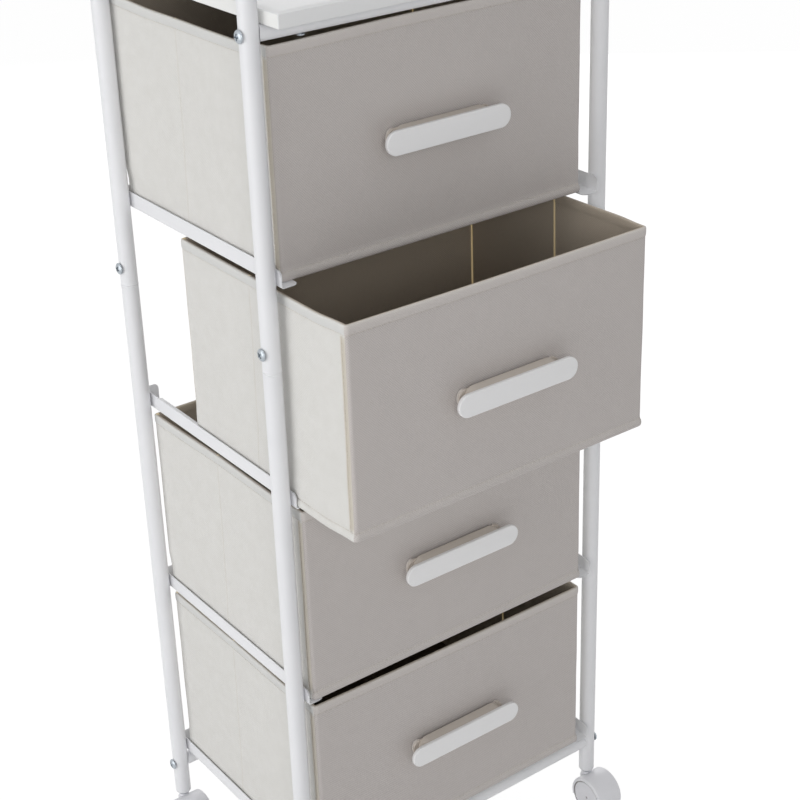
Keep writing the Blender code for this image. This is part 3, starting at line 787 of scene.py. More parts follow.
@dataclass
class ScrewSet:
    """The zinc pan heads, all from one turned pattern, with sizes as shares of a head's width."""

    facets: int = 32
    brim: float = 0.08  # height at which the dome begins
    brim_round: float = 0.03
    shank: float = 0.22
    shank_depth: float = 0.2  # how far the shank reaches in under the head
    recess_length: float = 0.52
    recess_width: float = 0.13
    recess_depth: float = 0.3

    def __post_init__(self) -> None:
        """Turn the head that every screw shares, one unit wide."""
        dome = [(0.5 * math.cos(a), self.brim + (HEAD_RISE - self.brim) * math.sin(a)) for a in quarter(7)]
        shank = [(0.0, -self.shank_depth), (self.shank, -self.shank_depth), (self.shank, 0.0)]
        brim = [(0.5 - self.brim_round, 0.0), (0.5, self.brim_round)]
        head = lathe([*shank, *brim, *dome[:-1], (0.0, HEAD_RISE)], self.facets, Matrix.Identity(4))
        self.head = finished("screw_head_pattern", head, ZINC.material())
        self.shape = ScrewHeads(ZINC.material())

    def piece(self, name: str, places: Sequence[tuple[Vector, Vector, float]]) -> bpy.types.Object:
        """Set screw heads into the object.

        Args:
            name: the piece's name.
            places: for each head its seat, the way it faces and its width.

        Returns:
            One object with all the heads.
        """
        guide = lines_mesh(f"{name}_points", [[p] for p, _, _ in places])
        guide.attributes.new("faces", "FLOAT_VECTOR", "POINT")
        guide.attributes.new("width", "FLOAT", "POINT")
        for i, (_, way, size) in enumerate(places):
            guide.attributes["faces"].data[i].vector = way
            guide.attributes["width"].data[i].value = size
        sizes = {"Head": self.head, "Recess Length": self.recess_length, "Recess Width": self.recess_width,
                 "Recess Depth": self.recess_depth}
        return self.shape.piece(name, guide, sizes)

    def clear(self) -> None:
        """Remove the shared head once every screw is set."""
        bpy.data.objects.remove(self.head, do_unlink=True)


# The swaged ring at a post's joint: mm below the joint, and how far it stands out, in beads.
SWAGE_OUTLINE = ((3.2, 0), (2.7, -1), (2.2, 0), (1.3, 1), (0.5, 0), (0.0, -2))


@dataclass
class TubeFrame:
    """Posts, side hoops, cross tubes and rails of white-coated steel."""

    post_radius: float = 9.5 * MM
    bend_radius: float = 45 * MM
    bend_steps: int = 16
    cross_radius: float = 8 * MM
    cope_gap: float = 0.9 * MM
    foot_round: float = 1.5 * MM
    bead: float = 0.3 * MM
    facets: int = 48
    sheet: float = 1.2 * MM
    sheet_arris: float = 0.25 * MM
    fold: float = 1.8 * MM  # radius of the rail's fold, at the middle of the sheet
    rail_round: float = 6 * MM
    rail_gap: float = 6 * MM  # the widest gap between points round a rail's section
    rail_tab: float = 16 * MM
    tab_rise: float = 3.5 * MM
    tab_round: float = 6 * MM

    def build(self) -> None:
        """Make every piece of the frame and seat it on the frame's body."""
        steel = FRAME_WHITE.material()
        for corner in CORNERS:
            node = f"lower_post_{corner}"
            post = finished(f"post_tube_{corner}", self.post(node), steel, sharp=30)
            seat(post, "frame", "coated_steel", node)
        bender = BentTube(steel)
        sizes = {"Radius": self.post_radius, "Bend Radius": self.bend_radius, "Facets": self.facets,
                 "Bend Steps": self.bend_steps}
        for side in SIDES:
            node = f"upper_hoop_{side}"
            hoop = bender.piece(f"hoop_tube_{side}", self.hoop_line(node), sizes)
            seat(hoop, "frame", "coated_steel", node)
        for end in ("top_front", "top_rear", "bottom_front", "bottom_rear"):
            node = f"cross_tube_{end}"
            bar = finished(f"cross_bar_{end}", self.cross_bar(node), steel, sharp=50)
            seat(bar, "frame", "coated_steel", node)
        for level in LEVELS:
            for side in SIDES:
                node = f"rail_{level}_{side}"
                rail = finished(f"slide_rail_{level}_{side}", self.rail(node, side), steel, sharp=30)
                seat(rail, "frame", "coated_steel", node)

    def post(self, node: str) -> bmesh.types.BMesh:
        """Turn a lower post: rounded foot, straight tube and the swaged ring at the joint.

        Args:
            node: the solid that it stands for.

        Returns:
            The mesh in the making.
        """
        low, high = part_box(node)
        middle = (low + high) / 2
        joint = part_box("upper_hoop_left")[0].z
        r, turn = self.post_radius, self.foot_round
        foot = [(r - turn + turn * math.sin(a), low.z + turn - turn * math.cos(a)) for a in quarter(6)]
        ring = [(r + beads * self.bead, joint - drop * MM) for drop, beads in SWAGE_OUTLINE]
        axis = Matrix.Translation((middle.x, middle.y, 0.0))
        return lathe([(0.0, low.z), *foot, *ring, (0.0, joint)], self.facets, axis)

    def hoop_line(self, node: str) -> bpy.types.Mesh:
        """Draw the square line that a hoop's tube is bent along.

        Args:
            node: the solid that the hoop stands for.

        Returns:
            The line as a mesh of loose edges.
        """
        low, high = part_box(node)
        x, r = (low.x + high.x) / 2, self.post_radius
        ends = [(low.y + r, low.z), (low.y + r, high.z - r), (high.y - r, high.z - r), (high.y - r, low.z)]
        return lines_mesh(node, [[Vector((x, y, z)) for y, z in ends]])

    def cross_bar(self, node: str) -> bmesh.types.BMesh:
        """Loft a cross tube whose ends are coped to the posts.

        Args:
            node: the solid that it stands for.

        Returns:
            The mesh in the making.
        """
        low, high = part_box(node)
        y, z, r = (low.y + high.y) / 2, (low.z + high.z) / 2, self.cross_radius
        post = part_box("lower_post_front_right")
        axis_x = (post[0].x + post[1].x) / 2
        reach = self.post_radius + self.cope_gap
        rings = []
        for share in (-1.0, -0.96, 0.0, 0.96, 1.0):
            ring = []
            for across, up in ellipse(r, r, self.facets):
                end = axis_x - math.sqrt(reach ** 2 - across ** 2)
                ring.append(Vector((share * end, y + across, z + up)))
            rings.append(ring)
        return skin(rings)

    def rail(self, node: str, side: str) -> bmesh.types.BMesh:
        """Fold an angle rail with rounded front corners and a stop tab at its rear.

        Args:
            node: the solid that it stands for.
            side: left or right.

        Returns:
            The mesh in the making.
        """
        low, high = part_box(node)
        out = -1 if side == "left" else 1
        wall = low.x if out < 0 else high.x
        tall, wide, half, bend = high.z - low.z, high.x - low.x, self.sheet / 2, self.fold
        flat_up, flat_in = tall - half - bend, wide - half - bend
        turn = math.pi / 2 * bend
        total = flat_up + turn + flat_in
        round_in = [self.rail_round * (1 - math.cos(a)) for a in quarter(8)]
        marks = round_in + [total - s for s in round_in] + [flat_up + turn * i / 6 for i in range(7)]
        rows = []
        for s in spread(total, marks, self.rail_gap):
            if s <= flat_up:
                inwards, z, n_in, n_up = half, low.z + tall - s, 1.0, 0.0
            elif s <= flat_up + turn:
                a = (s - flat_up) / bend
                inwards, z = half + bend * (1 - math.cos(a)), low.z + half + bend * (1 - math.sin(a))
                n_in, n_up = math.cos(a), math.sin(a)
            else:
                inwards, z, n_in, n_up = half + bend + s - flat_up - turn, low.z + half, 0.0, 1.0
            edge = min(s, total - s)
            cut = 0.0
            if edge < self.rail_round:
                cut = self.rail_round - math.sqrt(self.rail_round ** 2 - (self.rail_round - edge) ** 2)
            rows.append((inwards, z, n_in, n_up, low.y + cut))
        rings = []
        for share in (0.0, 0.05, 0.5, 0.95, 1.0):
            inner = [Vector((wall - out * (i + half * a), front + (high.y - front) * share, z + half * u))
                     for i, z, a, u, front in rows]
            outer = [Vector((wall - out * (i - half * a), front + (high.y - front) * share, z - half * u))
                     for i, z, a, u, front in rows]
            rings.append(inner + outer[::-1])
        return merge(rounded(skin(rings), self.sheet_arris), self.tab(wall, out, low.z, high))

    def tab(self, wall: float, out: int, foot: float, high: Vector) -> bmesh.types.BMesh:
        """Make the stop tab that stands across a rail's rear end.

        Args:
            wall: the place of the rail's outer face, across the cart.
            out: -1 for a left rail and 1 for a right one.
            foot: the height of the rail's underside.
            high: the highest corner of the rail's solid.

        Returns:
            The mesh in the making.
        """
        tall, wide, r = high.z - foot + self.tab_rise, self.rail_tab, self.tab_round
        corner = [(wide - r + r * math.cos(a), tall - r + r * math.sin(a)) for a in quarter(8)]
        outline = [(self.sheet / 2, self.sheet), (wide, self.sheet), *corner, (self.sheet / 2, tall)]
        rings = [[Vector((wall - out * i, high.y - back, foot + z)) for i, z in outline]
                 for back in (0.0, self.sheet)]
        return rounded(skin(rings), self.sheet_arris)


@dataclass
class TopBoard:
    """The melamine-faced panel on the top cross tubes, with a banded edge."""

    arris: float = 1.1 * MM
    corner: float = 1.6 * MM
    least_corner: float = 0.2 * MM
    band: float = 0.8 * MM  # thickness of the edge band, whose joint shows as a hairline
    hairline: float = 0.12 * MM  # depth of that joint
    joint_bed: float = 0.1 * MM  # from the joint's outer edge to its lowest line
    joint_width: float = 0.25 * MM
    margin: float = 12 * MM  # from the board's edge to the plain middle of its face

    def build(self) -> None:
        """Make the board and seat it on the frame."""
        low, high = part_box("top_board")
        middle, half = (low + high) / 2, (high - low) / 2
        r, line = self.arris, self.band + self.arris
        arc = [(r - r * math.sin(a), r - r * math.cos(a)) for a in quarter(4)]
        joint = [(line + self.joint_width, 0.0), (line + self.joint_bed, self.hairline), (line, 0.0)]
        edge = [(self.margin, 0.0), *joint, *arc]
        rings = []
        for up in (False, True):
            for inset, drop in (reversed(edge) if up else edge):
                z = high.z - drop if up else low.z + drop
                radius = max(self.corner - inset, self.least_corner)
                flat = rounded_outline(half.x - inset, half.y - inset, radius, 4)
                rings.append([Vector((middle.x + x, middle.y + y, z)) for x, y in flat])
        work = skin(rings)
        work.normal_update()
        for face in work.faces:
            face.material_index = 1 if abs(face.normal.x) > 0.9 else 0
        board = finished("board_panel", work, BOARD_WHITE.material(), EDGE_BAND.material(), sharp=50)
        seat(board, "frame", "board", "top_board")


class Wall(Enum):
    """Which wall of a drawer a seam station lies on."""

    FRONT = "front"
    RIGHT = "right"
    BACK = "back"
    LEFT = "left"
    CORNER = "corner"


class Cloth(Enum):
    """Which cloth a face of a drawer is made of, as its material index."""

    FRONT = 0
    SIDE = 1
    LINING = 2
    FOLD = 3
    SIDE_LINING = 4


@dataclass(frozen=True)
class Station:
    """A place on a drawer's outline, seen from above."""

    wall: Wall
    x: float
    y: float
    out_x: float
    out_y: float
    share: float  # how far along its wall, 0 to 1

    @property
    def on_side(self) -> bool:
        """Whether it lies on the left or the right wall."""
        return self.wall in (Wall.LEFT, Wall.RIGHT)


@dataclass(frozen=True)
class SewnTints:
    """How strongly each sewn line and edge tints the cloth, 0 to 1: painted shade in grooves, creases and
    strips, painted highlight on folded edges, and the hem's tone.
    """

    # Painted shade: hem_line, welt_line, strip, corner_seam, rear_seam and crease.
    hem_line: float = 0.06
    welt_line: float = 0.1
    strip: float = 0.45  # painted shade on the strip of side cloth between a front corner and its seam
    corner_seam: float = 0.3
    rear_seam: float = 0.6
    crease: float = 0.16
    # Painted highlight: rim, welt, front_welt and front_edge; hem is the hem band's own tone.
    rim: float = 0.55
    welt: float = 0.18
    front_welt: float = 0.3
    front_edge: float = 0.3
    hem: float = 0.6


# Stations along a drawer's walls: distances from a corner, and to both sides of a fold line.
NEAR_CORNER = [k * MM for k in (0.9, 1.8, 2.7, 3.6, 4.5, 5.4, 6.5, 8, 11, 16)]
NEAR_FOLD = [k * MM for k in (-7, -3, -1.4, -0.7, 0, 0.7, 1.4, 3, 7)]
# How far in from its edge each ring of a drawer's floor lies, as a share of the way to the middle.
FLOOR_SHARES = (0.93, 0.75, 0.5, 0.25, 0.08)
# Sewn edges in mm: a height, and how far the cloth stands off the wall there.
WELT_OUTLINE = ((0.0, 0.0), (0.5, 0.9), (1.8, 1.7), (4.0, 2.0), (6.4, 1.6), (8.2, 0.6), (9.4, -0.05),
                (10.8, 0.0))
HEM_OUTLINE = ((-1.0, 0.0), (0.0, -0.1), (1.0, 0.3), (2.4, 0.75))  # heights from the hem's lower edge
RIM_OUTSIDE = ((-5.0, 0.8), (-1.6, 0.8), (-0.5, 0.4), (0.0, -0.6))  # heights from the rim
RIM_INSIDE = ((0.0, -2.7), (-0.5, -3.6), (-1.6, -4.0))


@dataclass
class FabricDrawer:
    """A sewn felt box over card, with hem, welt, corner seams, fold lines, base card and pull."""

    number: int
    welt_out: float = 2.0 * MM
    wall: float = 3.5 * MM
    corner: float = 4.6 * MM
    rear_corner: float = 4.0 * MM
    corner_facets: int = 6
    station_gap: float = 10 * MM  # the widest gap between stations round the box
    splay: float = 3.3 * MM  # how far the side panels stand out beyond the front panel's edge
    splay_from: float = 8 * MM  # where that begins, from the front
    splay_over: float = 40 * MM  # and over what length it comes in
    rear_push: float = 0.2 * MM
    hem: float = 10.8 * MM
    welt: float = 9.0 * MM
    floor: float = 3.0 * MM
    fold_left: float = 165 * MM  # fold line of each side wall, from the front
    fold_right: float = 142 * MM
    fold_lean: float = 2.2 * MM  # how far the halves of a side wall lean in at its fold
    fold_strip: float = 1.4 * MM
    fold_groove: float = 0.3 * MM
    fold_width: float = 0.9 * MM
    seam_back: float = 8.2 * MM  # corner seam, behind the front
    seam_groove: float = 1.0 * MM
    seam_width: float = 1.1 * MM
    ridge: float = 0.5 * MM  # cloth that stands up between a front corner and its seam
    ridge_back: float = 5.2 * MM
    ridge_width: float = 1.5 * MM
    front_wrap: float = 2.4 * MM
    edge_rise: float = 0.3 * MM  # how far the front's folded side edges stand out
    edge_fade: tuple[float, float] = (2.6 * MM, 3.8 * MM)  # where they end, from the box's side
    bulge: float = 0.5 * MM  # how far front and back stand out at their middle
    belly: float = 1.3 * MM  # how far the side panels fill out towards the rails
    belly_height: float = 22 * MM
    belly_width: float = 18 * MM
    belly_fade: tuple[float, float] = (12 * MM, 40 * MM)  # where that begins, from the front
    ripple: float = 0.35 * MM
    ripple_size: float = 45 * MM
    ripple_shift: float = 3.1  # metres between the drawers' places in the noise
    relief_fade: float = 5 * MM  # over what height relief and marks begin, next to welt and hem
    mark_fade: float = 4 * MM
    floor_sag: float = 1.5 * MM
    side_sag: float = 1.7 * MM  # how far the rim hangs between its corners
    front_sag: float = 0.9 * MM
    rim_drop: float = 1.0 * MM  # how far the rim stands below the solid's top
    slack_drop: float = 4.6 * MM  # how much lower the lowest drawer's rim hangs at its right
    first_drop: float = 2.2 * MM  # the top drawer's rim falls towards its left corner
    first_slack: float = 2.6 * MM  # and hangs lower again along its left wall
    spread_left: tuple[float, ...] = (3 * MM, 0.0, 3 * MM, 0.0)  # bulge of each left wall at its rear
    spread_fade: tuple[float, float] = (24 * MM, 50 * MM)  # heights over which it begins, above the rail
    stitch_pitch: float = 3.6 * MM
    stitch_length: float = 3.0 * MM
    thread: float = 0.5 * MM
    thread_lift: float = 0.16 * MM  # how far the thread's middle lies off the cloth
    corner_lift: float = 0.15 * MM
    hem_stitch: float = 0.3 * MM  # height of the stitches over the hem's lower edge
    welt_stitch: float = 0.6 * MM  # and over the welt
    corner_stitch: float = 1.0 * MM  # how far behind a front corner they run
    card_edge: float = 1.2 * MM
    card_corner: float = 6 * MM
    pull_screw: float = 8.5 * MM  # width of the screw heads behind the pull
    tints: SewnTints = SewnTints()

    def __post_init__(self) -> None:
        """Take the drawer's size and place from its solid."""
        low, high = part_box(f"drawer_{self.number}_box")
        self.half = (high.x - low.x) / 2 - self.welt_out
        self.depth = high.y - low.y - 2 * self.welt_out
        self.height = high.z - low.z
        self.origin = Vector(((low.x + high.x) / 2, low.y + self.welt_out, low.z))
        self.body = f"drawer_{self.number}"
        self.stations = self.outline()

    def outline(self) -> list[Station]:
        """Follow the box round, anticlockwise from the left end of the front.

        Returns:
            The stations in order.
        """
        r, q = self.corner, self.rear_corner
        left, right, back = -self.half, self.half, self.depth
        return [*self.run(Wall.FRONT, Vector((left + r, 0.0)), Vector((right - r, 0.0))),
                *self.turn(right - r, r, r, -90),
                *self.run(Wall.RIGHT, Vector((right, r)), Vector((right, back - q))),
                *self.turn(right - q, back - q, q, 0),
                *self.run(Wall.BACK, Vector((right - q, back)), Vector((left + q, back))),
                *self.turn(left + q, back - q, q, 90),
                *self.run(Wall.LEFT, Vector((left, back - q)), Vector((left, r))),
                *self.turn(left + r, r, r, 180)]

    def run(self, wall: Wall, start: Vector, end: Vector) -> list[Station]:
        """Stations along a wall's straight part, closer together near its corners and its fold.

        Args:
            wall: the wall.
            start: the first end of its straight part.
            end: the other end.

        Returns:
            The stations in order, with both ends.
        """
        length, way = (end - start).length, (end - start).normalized()
        marks = NEAR_CORNER + [length - n for n in NEAR_CORNER]
        if wall in (Wall.LEFT, Wall.RIGHT):
            folds = [f + k - self.corner for f in (self.fold_left, self.fold_right) for k in NEAR_FOLD]
            marks += folds if wall is Wall.RIGHT else [length - f for f in folds]
        made = []
        for s in spread(length, marks, self.station_gap):
            spot = start + way * s
            made.append(Station(wall, spot.x, spot.y, way.y, -way.x, s / length))
        return made

    def turn(self, x: float, y: float, radius: float, start: float) -> list[Station]:
        """Stations round a corner, between its two ends.

        Args:
            x: the place of the corner's centre, across.
            y: its place from the front.
            radius: the corner's radius.
            start: the angle at its first end in degrees.

        Returns:
            The stations in order.
        """
        made = []
        for i in range(1, self.corner_facets):
            a = math.radians(start + 90 * i / self.corner_facets)
            out_x, out_y = math.cos(a), math.sin(a)
            made.append(Station(Wall.CORNER, x + radius * out_x, y + radius * out_y, out_x, out_y, 0.0))
        return made

    def fold_of(self, place: Station) -> float:
        """Where the fold line of a station's side wall lies, from the front."""
        return self.fold_left if place.wall is Wall.LEFT else self.fold_right

    def panel(self, z: float, fade: float) -> float:
        """How fully a height lies on the plain panel between welt and hem, 0 to 1."""
        seam = self.height - self.hem
        return smooth(self.welt, self.welt + fade, z) * (1 - smooth(seam - fade, seam, z))

    def front_edge(self, place: Station) -> float:
        """How fully a station of the front lies on its folded side edge, 0 to 1."""
        return 1 - smooth(*self.edge_fade, self.half - abs(place.x))

    def lean(self, place: Station, z: float) -> float:
        """Find how far a wall leans out of its plane: in at the side folds, out at front and back.

        Args:
            place: the station.
            z: the height above the drawer's underside.

        Returns:
            The distance outwards.
        """
        rise = z / self.height
        if place.on_side:
            fold = self.fold_of(place)
            reach = fold if place.y < fold else self.depth - fold
            return -self.fold_lean * max(0.0, 1 - abs(place.y - fold) / reach) * smooth(0.05, 1.0, rise)
        if place.wall in (Wall.FRONT, Wall.BACK):
            return self.bulge * math.sin(math.pi * place.share) * math.sin(math.pi * rise)
        return 0.0

    def relief(self, place: Station, z: float) -> float:
        """Find how far the outer cloth stands off its wall: seams, folds and ripples.

        Args:
            place: the station.
            z: the height above the drawer's underside.

        Returns:
            The distance outwards.
        """
        out = 0.0
        if place.on_side:
            out -= self.fold_groove * hump(place.y, self.fold_of(place), self.fold_width)
            out -= self.seam_groove * hump(place.y, self.seam_back, self.seam_width)
            out += self.ridge * hump(place.y, self.ridge_back, self.ridge_width)
            filled = smooth(*self.belly_fade, place.y)
            out += self.belly * hump(z, self.belly_height, self.belly_width) * filled
        elif place.wall is Wall.FRONT:
            out += self.edge_rise * self.front_edge(place)
        spot = Vector((place.x, place.y + self.ripple_shift * self.number, z)) / self.ripple_size
        return self.panel(z, self.relief_fade) * (out + self.ripple * noise.noise(spot))

    def point(self, place: Station, z: float, off: float) -> Vector:
        """Find a point of the box in the cart's frame.

        Args:
            place: the station.
            z: the height above the drawer's underside.
            off: how far out it lies from the nominal wall.

        Returns:
            The point, with the wall's lean and splay and the rim's droop.
        """
        out = off + self.lean(place, z)
        droop = self.rim_fall(place) * smooth(0.75, 1.0, z / self.height)
        back = place.y / self.depth
        splay = self.splay * smooth(0.0, self.splay_over, place.y - self.splay_from)
        if place.x < 0:
            above_rail = smooth(*self.spread_fade, z)
            splay += self.spread_left[self.number - 1] * above_rail * smooth(0.45, 1.0, back)
        wider = 1 + splay / self.half
        deeper = self.rear_push * smooth(0.5, 1.0, back)
        return self.origin + Vector((place.x * wider + place.out_x * out,
                                     place.y + deeper + place.out_y * out, z - droop))

    def rim_fall(self, place: Station) -> float:
        """Find how far the rim hangs below the solid's top.

        Args:
            place: the station.

        Returns:
            The distance down.
        """
        sag = self.side_sag if place.on_side else self.front_sag
        drop = sag * math.sin(math.pi * place.share) + self.rim_drop
        across = 0.5 + place.x / self.half / 2
        if self.number == LEVELS[-1]:
            drop += self.slack_drop * across * (1 - 0.6 * place.y / self.depth)
        elif self.number == LEVELS[0]:
            drop = self.first_drop * (1 - smooth(0.0, 0.45, across))
            if place.on_side:
                drop += sag * math.sin(math.pi * place.share)
            if place.wall is Wall.LEFT:
                along = smooth(0.0, 0.3, place.share) * (1 - smooth(0.88, 1.0, place.share))
                drop += self.first_slack * along
        return drop

    def rows(self) -> tuple[list[tuple[float, float]], list[tuple[float, float]]]:
        """List the rows of points up the outside and down the inside.

        Returns:
            Heights and offsets of the outer rows, and of the inner rows.
        """
        top, seam, card = self.height, self.height - self.hem, self.wall
        outer = [(z * MM, off * MM) for z, off in WELT_OUTLINE]
        outer += [(z, 0.0) for z in spread(seam - 3 * MM, [14 * MM], 8 * MM) if z > 13 * MM]
        outer += [(seam + z * MM, off * MM) for z, off in HEM_OUTLINE]
        outer += [(top + z * MM, off * MM) for z, off in RIM_OUTSIDE]
        inner = [(top + z * MM, off * MM) for z, off in RIM_INSIDE]
        inner += [(seam + 1.2 * MM, inner[-1][1]), (seam, -card - 0.1 * MM), (seam - 1.5 * MM, -card)]
        inner += [(z, -card) for z in reversed(spread(seam - 4 * MM, [], 14 * MM)) if z > 12 * MM]
        inner += [(self.floor + 1.2 * MM, -card), (self.floor, -card - 0.5 * MM)]
        return outer, inner

    def cloth(self, place: Station, inside: bool) -> Cloth:
        """Choose the cloth that covers a wall.

        Args:
            place: the station.
            inside: whether the inner side is meant.

        Returns:
            The cloth.
        """
        if not inside:
            return Cloth.FRONT if place.y < self.front_wrap else Cloth.SIDE
        beside = self.rear_corner + 1.0 * MM
        if place.on_side:
            if abs(place.y - self.fold_of(place)) < self.fold_strip + 0.1 * MM:
                return Cloth.FOLD
            if self.depth - place.y > beside:
                return Cloth.SIDE_LINING
        if self.depth - place.y < beside and self.half - abs(place.x) < beside:
            return Cloth.FOLD
        return Cloth.LINING

    def marks(self, place: Station, z: float) -> tuple[float, float, float, float]:
        """Find the painted shade and highlight that sewing brings to a point of the outer cloth, with its
        pucker and hem.

        Args:
            place: the station.
            z: the height above the drawer's underside.

        Returns:
            How much painted shade it takes in a seam's groove, a crease or a corner strip, how much painted
            highlight on a folded edge, how puckered and how hemmed, each 0 to 1.
        """
        tint, top = self.tints, self.height
        under_hem, over_welt = top - self.hem, self.welt + 0.5 * MM
        panel = self.panel(z, self.mark_fade)
        at_welt = hump(z, over_welt, 0.9 * MM)
        # The seam share is painted shade: stitch grooves, corner seams, creases and the strip behind each
        # front corner.
        strip = tint.strip * panel * smooth(1.5 * MM, 3 * MM, place.y)
        strip *= 1 - smooth(8.4 * MM, 9.6 * MM, place.y)
        seam = tint.hem_line * hump(z, under_hem, 0.9 * MM)
        # The fold share is a painted highlight on the rim, the welt and the front's folded side edges.
        fold = tint.rim * smooth(top - 2.2 * MM, top - 0.6 * MM, z)
        fold += tint.welt * hump(z, self.welt - 2 * MM, 2 * MM)
        pucker = hump(z, under_hem, 3 * MM) + hump(z, over_welt, 2.5 * MM)
        if place.wall is Wall.FRONT:
            fold += tint.front_edge * panel * self.front_edge(place) + tint.front_welt * at_welt
        else:
            seam += tint.welt_line * at_welt
        if place.on_side:
            seam += panel * tint.corner_seam * hump(place.y, self.seam_back, self.seam_width)
            seam += panel * tint.crease * hump(place.y, self.fold_of(place), self.fold_width)
            seam += strip
            pucker += panel * hump(place.y, 6 * MM, 2.5 * MM)
        elif place.wall is Wall.CORNER:
            seam += tint.rear_seam * panel if place.y > self.depth / 2 else strip
        hem = tint.hem * smooth(under_hem, under_hem + 1.2 * MM, z) * (1 - smooth(top - 1.5 * MM, top, z))
        return min(seam, 1.0), min(fold, 1.0), min(pucker, 1.0), hem

    def floor_ring(self, edge: Sequence[Vector], z: float, share: float) -> list[Vector]:
        """A ring of the floor, which sags towards its middle.

        Args:
            edge: the points round the floor's edge.
            z: the height of the floor's middle before it sags.
            share: how far the ring lies towards the middle, 0 to 1.

        Returns:
            The ring's points.
        """
        heart = self.origin + Vector((0.0, self.depth / 2, z))
        down = Vector((0.0, 0.0, -self.floor_sag * smooth(0.0, 0.8, share)))
        return [p.lerp(heart, share) + down for p in edge]

    def box(self) -> bpy.types.Object:
        """Loft the sewn box as one shell, from its underside over the rim to its inner floor.

        Returns:
            The box with its cloths.
        """
        outer, inner = self.rows()
        walls_out = [[self.point(s, z, off + self.relief(s, z)) for s in self.stations] for z, off in outer]
        walls_in = [[self.point(s, z, off) for s in self.stations] for z, off in inner]
        below = [self.floor_ring(walls_out[0], 0.0, share) for share in FLOOR_SHARES]
        above = [self.floor_ring(walls_in[-1], self.floor, share) for share in reversed(FLOOR_SHARES)]
        under = self.origin + Vector((0.0, self.depth / 2, -self.floor_sag))
        over = under + Vector((0.0, 0.0, self.floor))
        work = skin([[under], *below, *walls_out, *walls_in, *above, [over]])
        self.mark(work, 1 + len(below) * len(self.stations), [z for z, _ in outer])
        self.lay_cloth(work, len(below) + 1, len(outer), len(inner))
        finishes = (FRONT_CLOTH, SIDE_CLOTH, LINING_CLOTH, FOLD_CLOTH, SIDE_LINING)
        return finished(f"drawer_{self.number}_cloth", work, *(f.material() for f in finishes), sharp=70)

    def mark(self, work: bmesh.types.BMesh, start: int, heights: Sequence[float]) -> None:
        """Write the marks of the outer cloth on its points.

        Args:
            work: the box's mesh, whose points come row by row.
            start: the first point of the outer cloth.
            heights: the height of each of its rows.
        """
        layers = [work.verts.layers.float.new(name) for name in ("seam", "fold", "pucker", "hem")]
        work.verts.ensure_lookup_table()
        for row, z in enumerate(heights):
            for i, place in enumerate(self.stations):
                vertex = work.verts[start + row * len(self.stations) + i]
                for layer, value in zip(layers, self.marks(place, z)):
                    vertex[layer] = value

    def lay_cloth(self, work: bmesh.types.BMesh, first_wall: int, outer: int, inner: int) -> None:
        """Give each face its cloth, from the row and the two stations that it lies between.

        Args:
            work: the box's mesh, whose faces come row by row.
            first_wall: the first row of faces on the outer walls.
            outer: how many rows of points the outer walls have.
            inner: how many rows of points the inner walls have.
        """
        count = len(self.stations)
        outside = [self.cloth(s, False) for s in self.stations]
        inside = [self.cloth(s, True) for s in self.stations]
        first_inner = first_wall - 1 + outer
        last_inner = first_inner + inner - 1
        for index, face in enumerate(work.faces):
            row, i = divmod(index, count)
            cloths = inside if row >= first_inner else outside
            pair = {cloths[i], cloths[(i + 1) % count]}
            if row < first_wall:
                pick = Cloth.SIDE
            elif row >= last_inner:
                pick = Cloth.LINING
            elif len(pair) == 1:
                pick = pair.pop()
            elif row < first_inner:
                pick = Cloth.SIDE
            else:
                pick = Cloth.SIDE_LINING if Cloth.SIDE_LINING in pair else Cloth.LINING
            face.material_index = pick.value

    def seam_lines(self) -> list[list[Vector]]:
        """Draw the lines of stitching: under the hem, over the welt and up the corner seams.

        Returns:
            The points along each line.
        """
        lines = []
        for z in (self.height - self.hem + self.hem_stitch, self.welt + self.welt_stitch):
            line = [self.point(s, z, self.thread_lift + self.relief(s, z)) for s in self.stations]
            lines.append(line + line[:1])
        heights = spread(self.height, [], 6 * MM)[2:-2]
        for wall in (Wall.LEFT, Wall.RIGHT):
            on_wall = [s for s in self.stations if s.wall is wall]
            place = min(on_wall, key=lambda s: abs(s.y - self.corner - self.corner_stitch))
            lines.append([self.point(place, z, self.corner_lift + self.relief(place, z)) for z in heights])
        return lines

    def base_card(self) -> bpy.types.Object:
        """Make the loose card that stiffens the floor, covered in felt, with soft edges.

        Returns:
            The card.
        """
        low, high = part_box(f"drawer_{self.number}_base_insert")
        middle, half = (low + high) / 2, (high - low) / 2
        edge, top = self.card_edge, high.z
        side = [(low.z, edge), (low.z + edge, 0.0), (top - edge, 0.0), (top - 0.3 * MM, 0.4 * edge)]
        face = [(top, 1.2 * edge), (top - 0.2 * MM, 12 * MM), (top, 30 * MM), (top, 90 * MM)]
        rings = []
        for z, inset in side + face:
            flat = rounded_outline(half.x - inset, half.y - inset, self.card_corner, 5)
            rings.append([Vector((middle.x + x, middle.y + y, z)) for x, y in flat])
        return finished(f"drawer_{self.number}_floor_card", skin(rings), CARD_COVER.material())

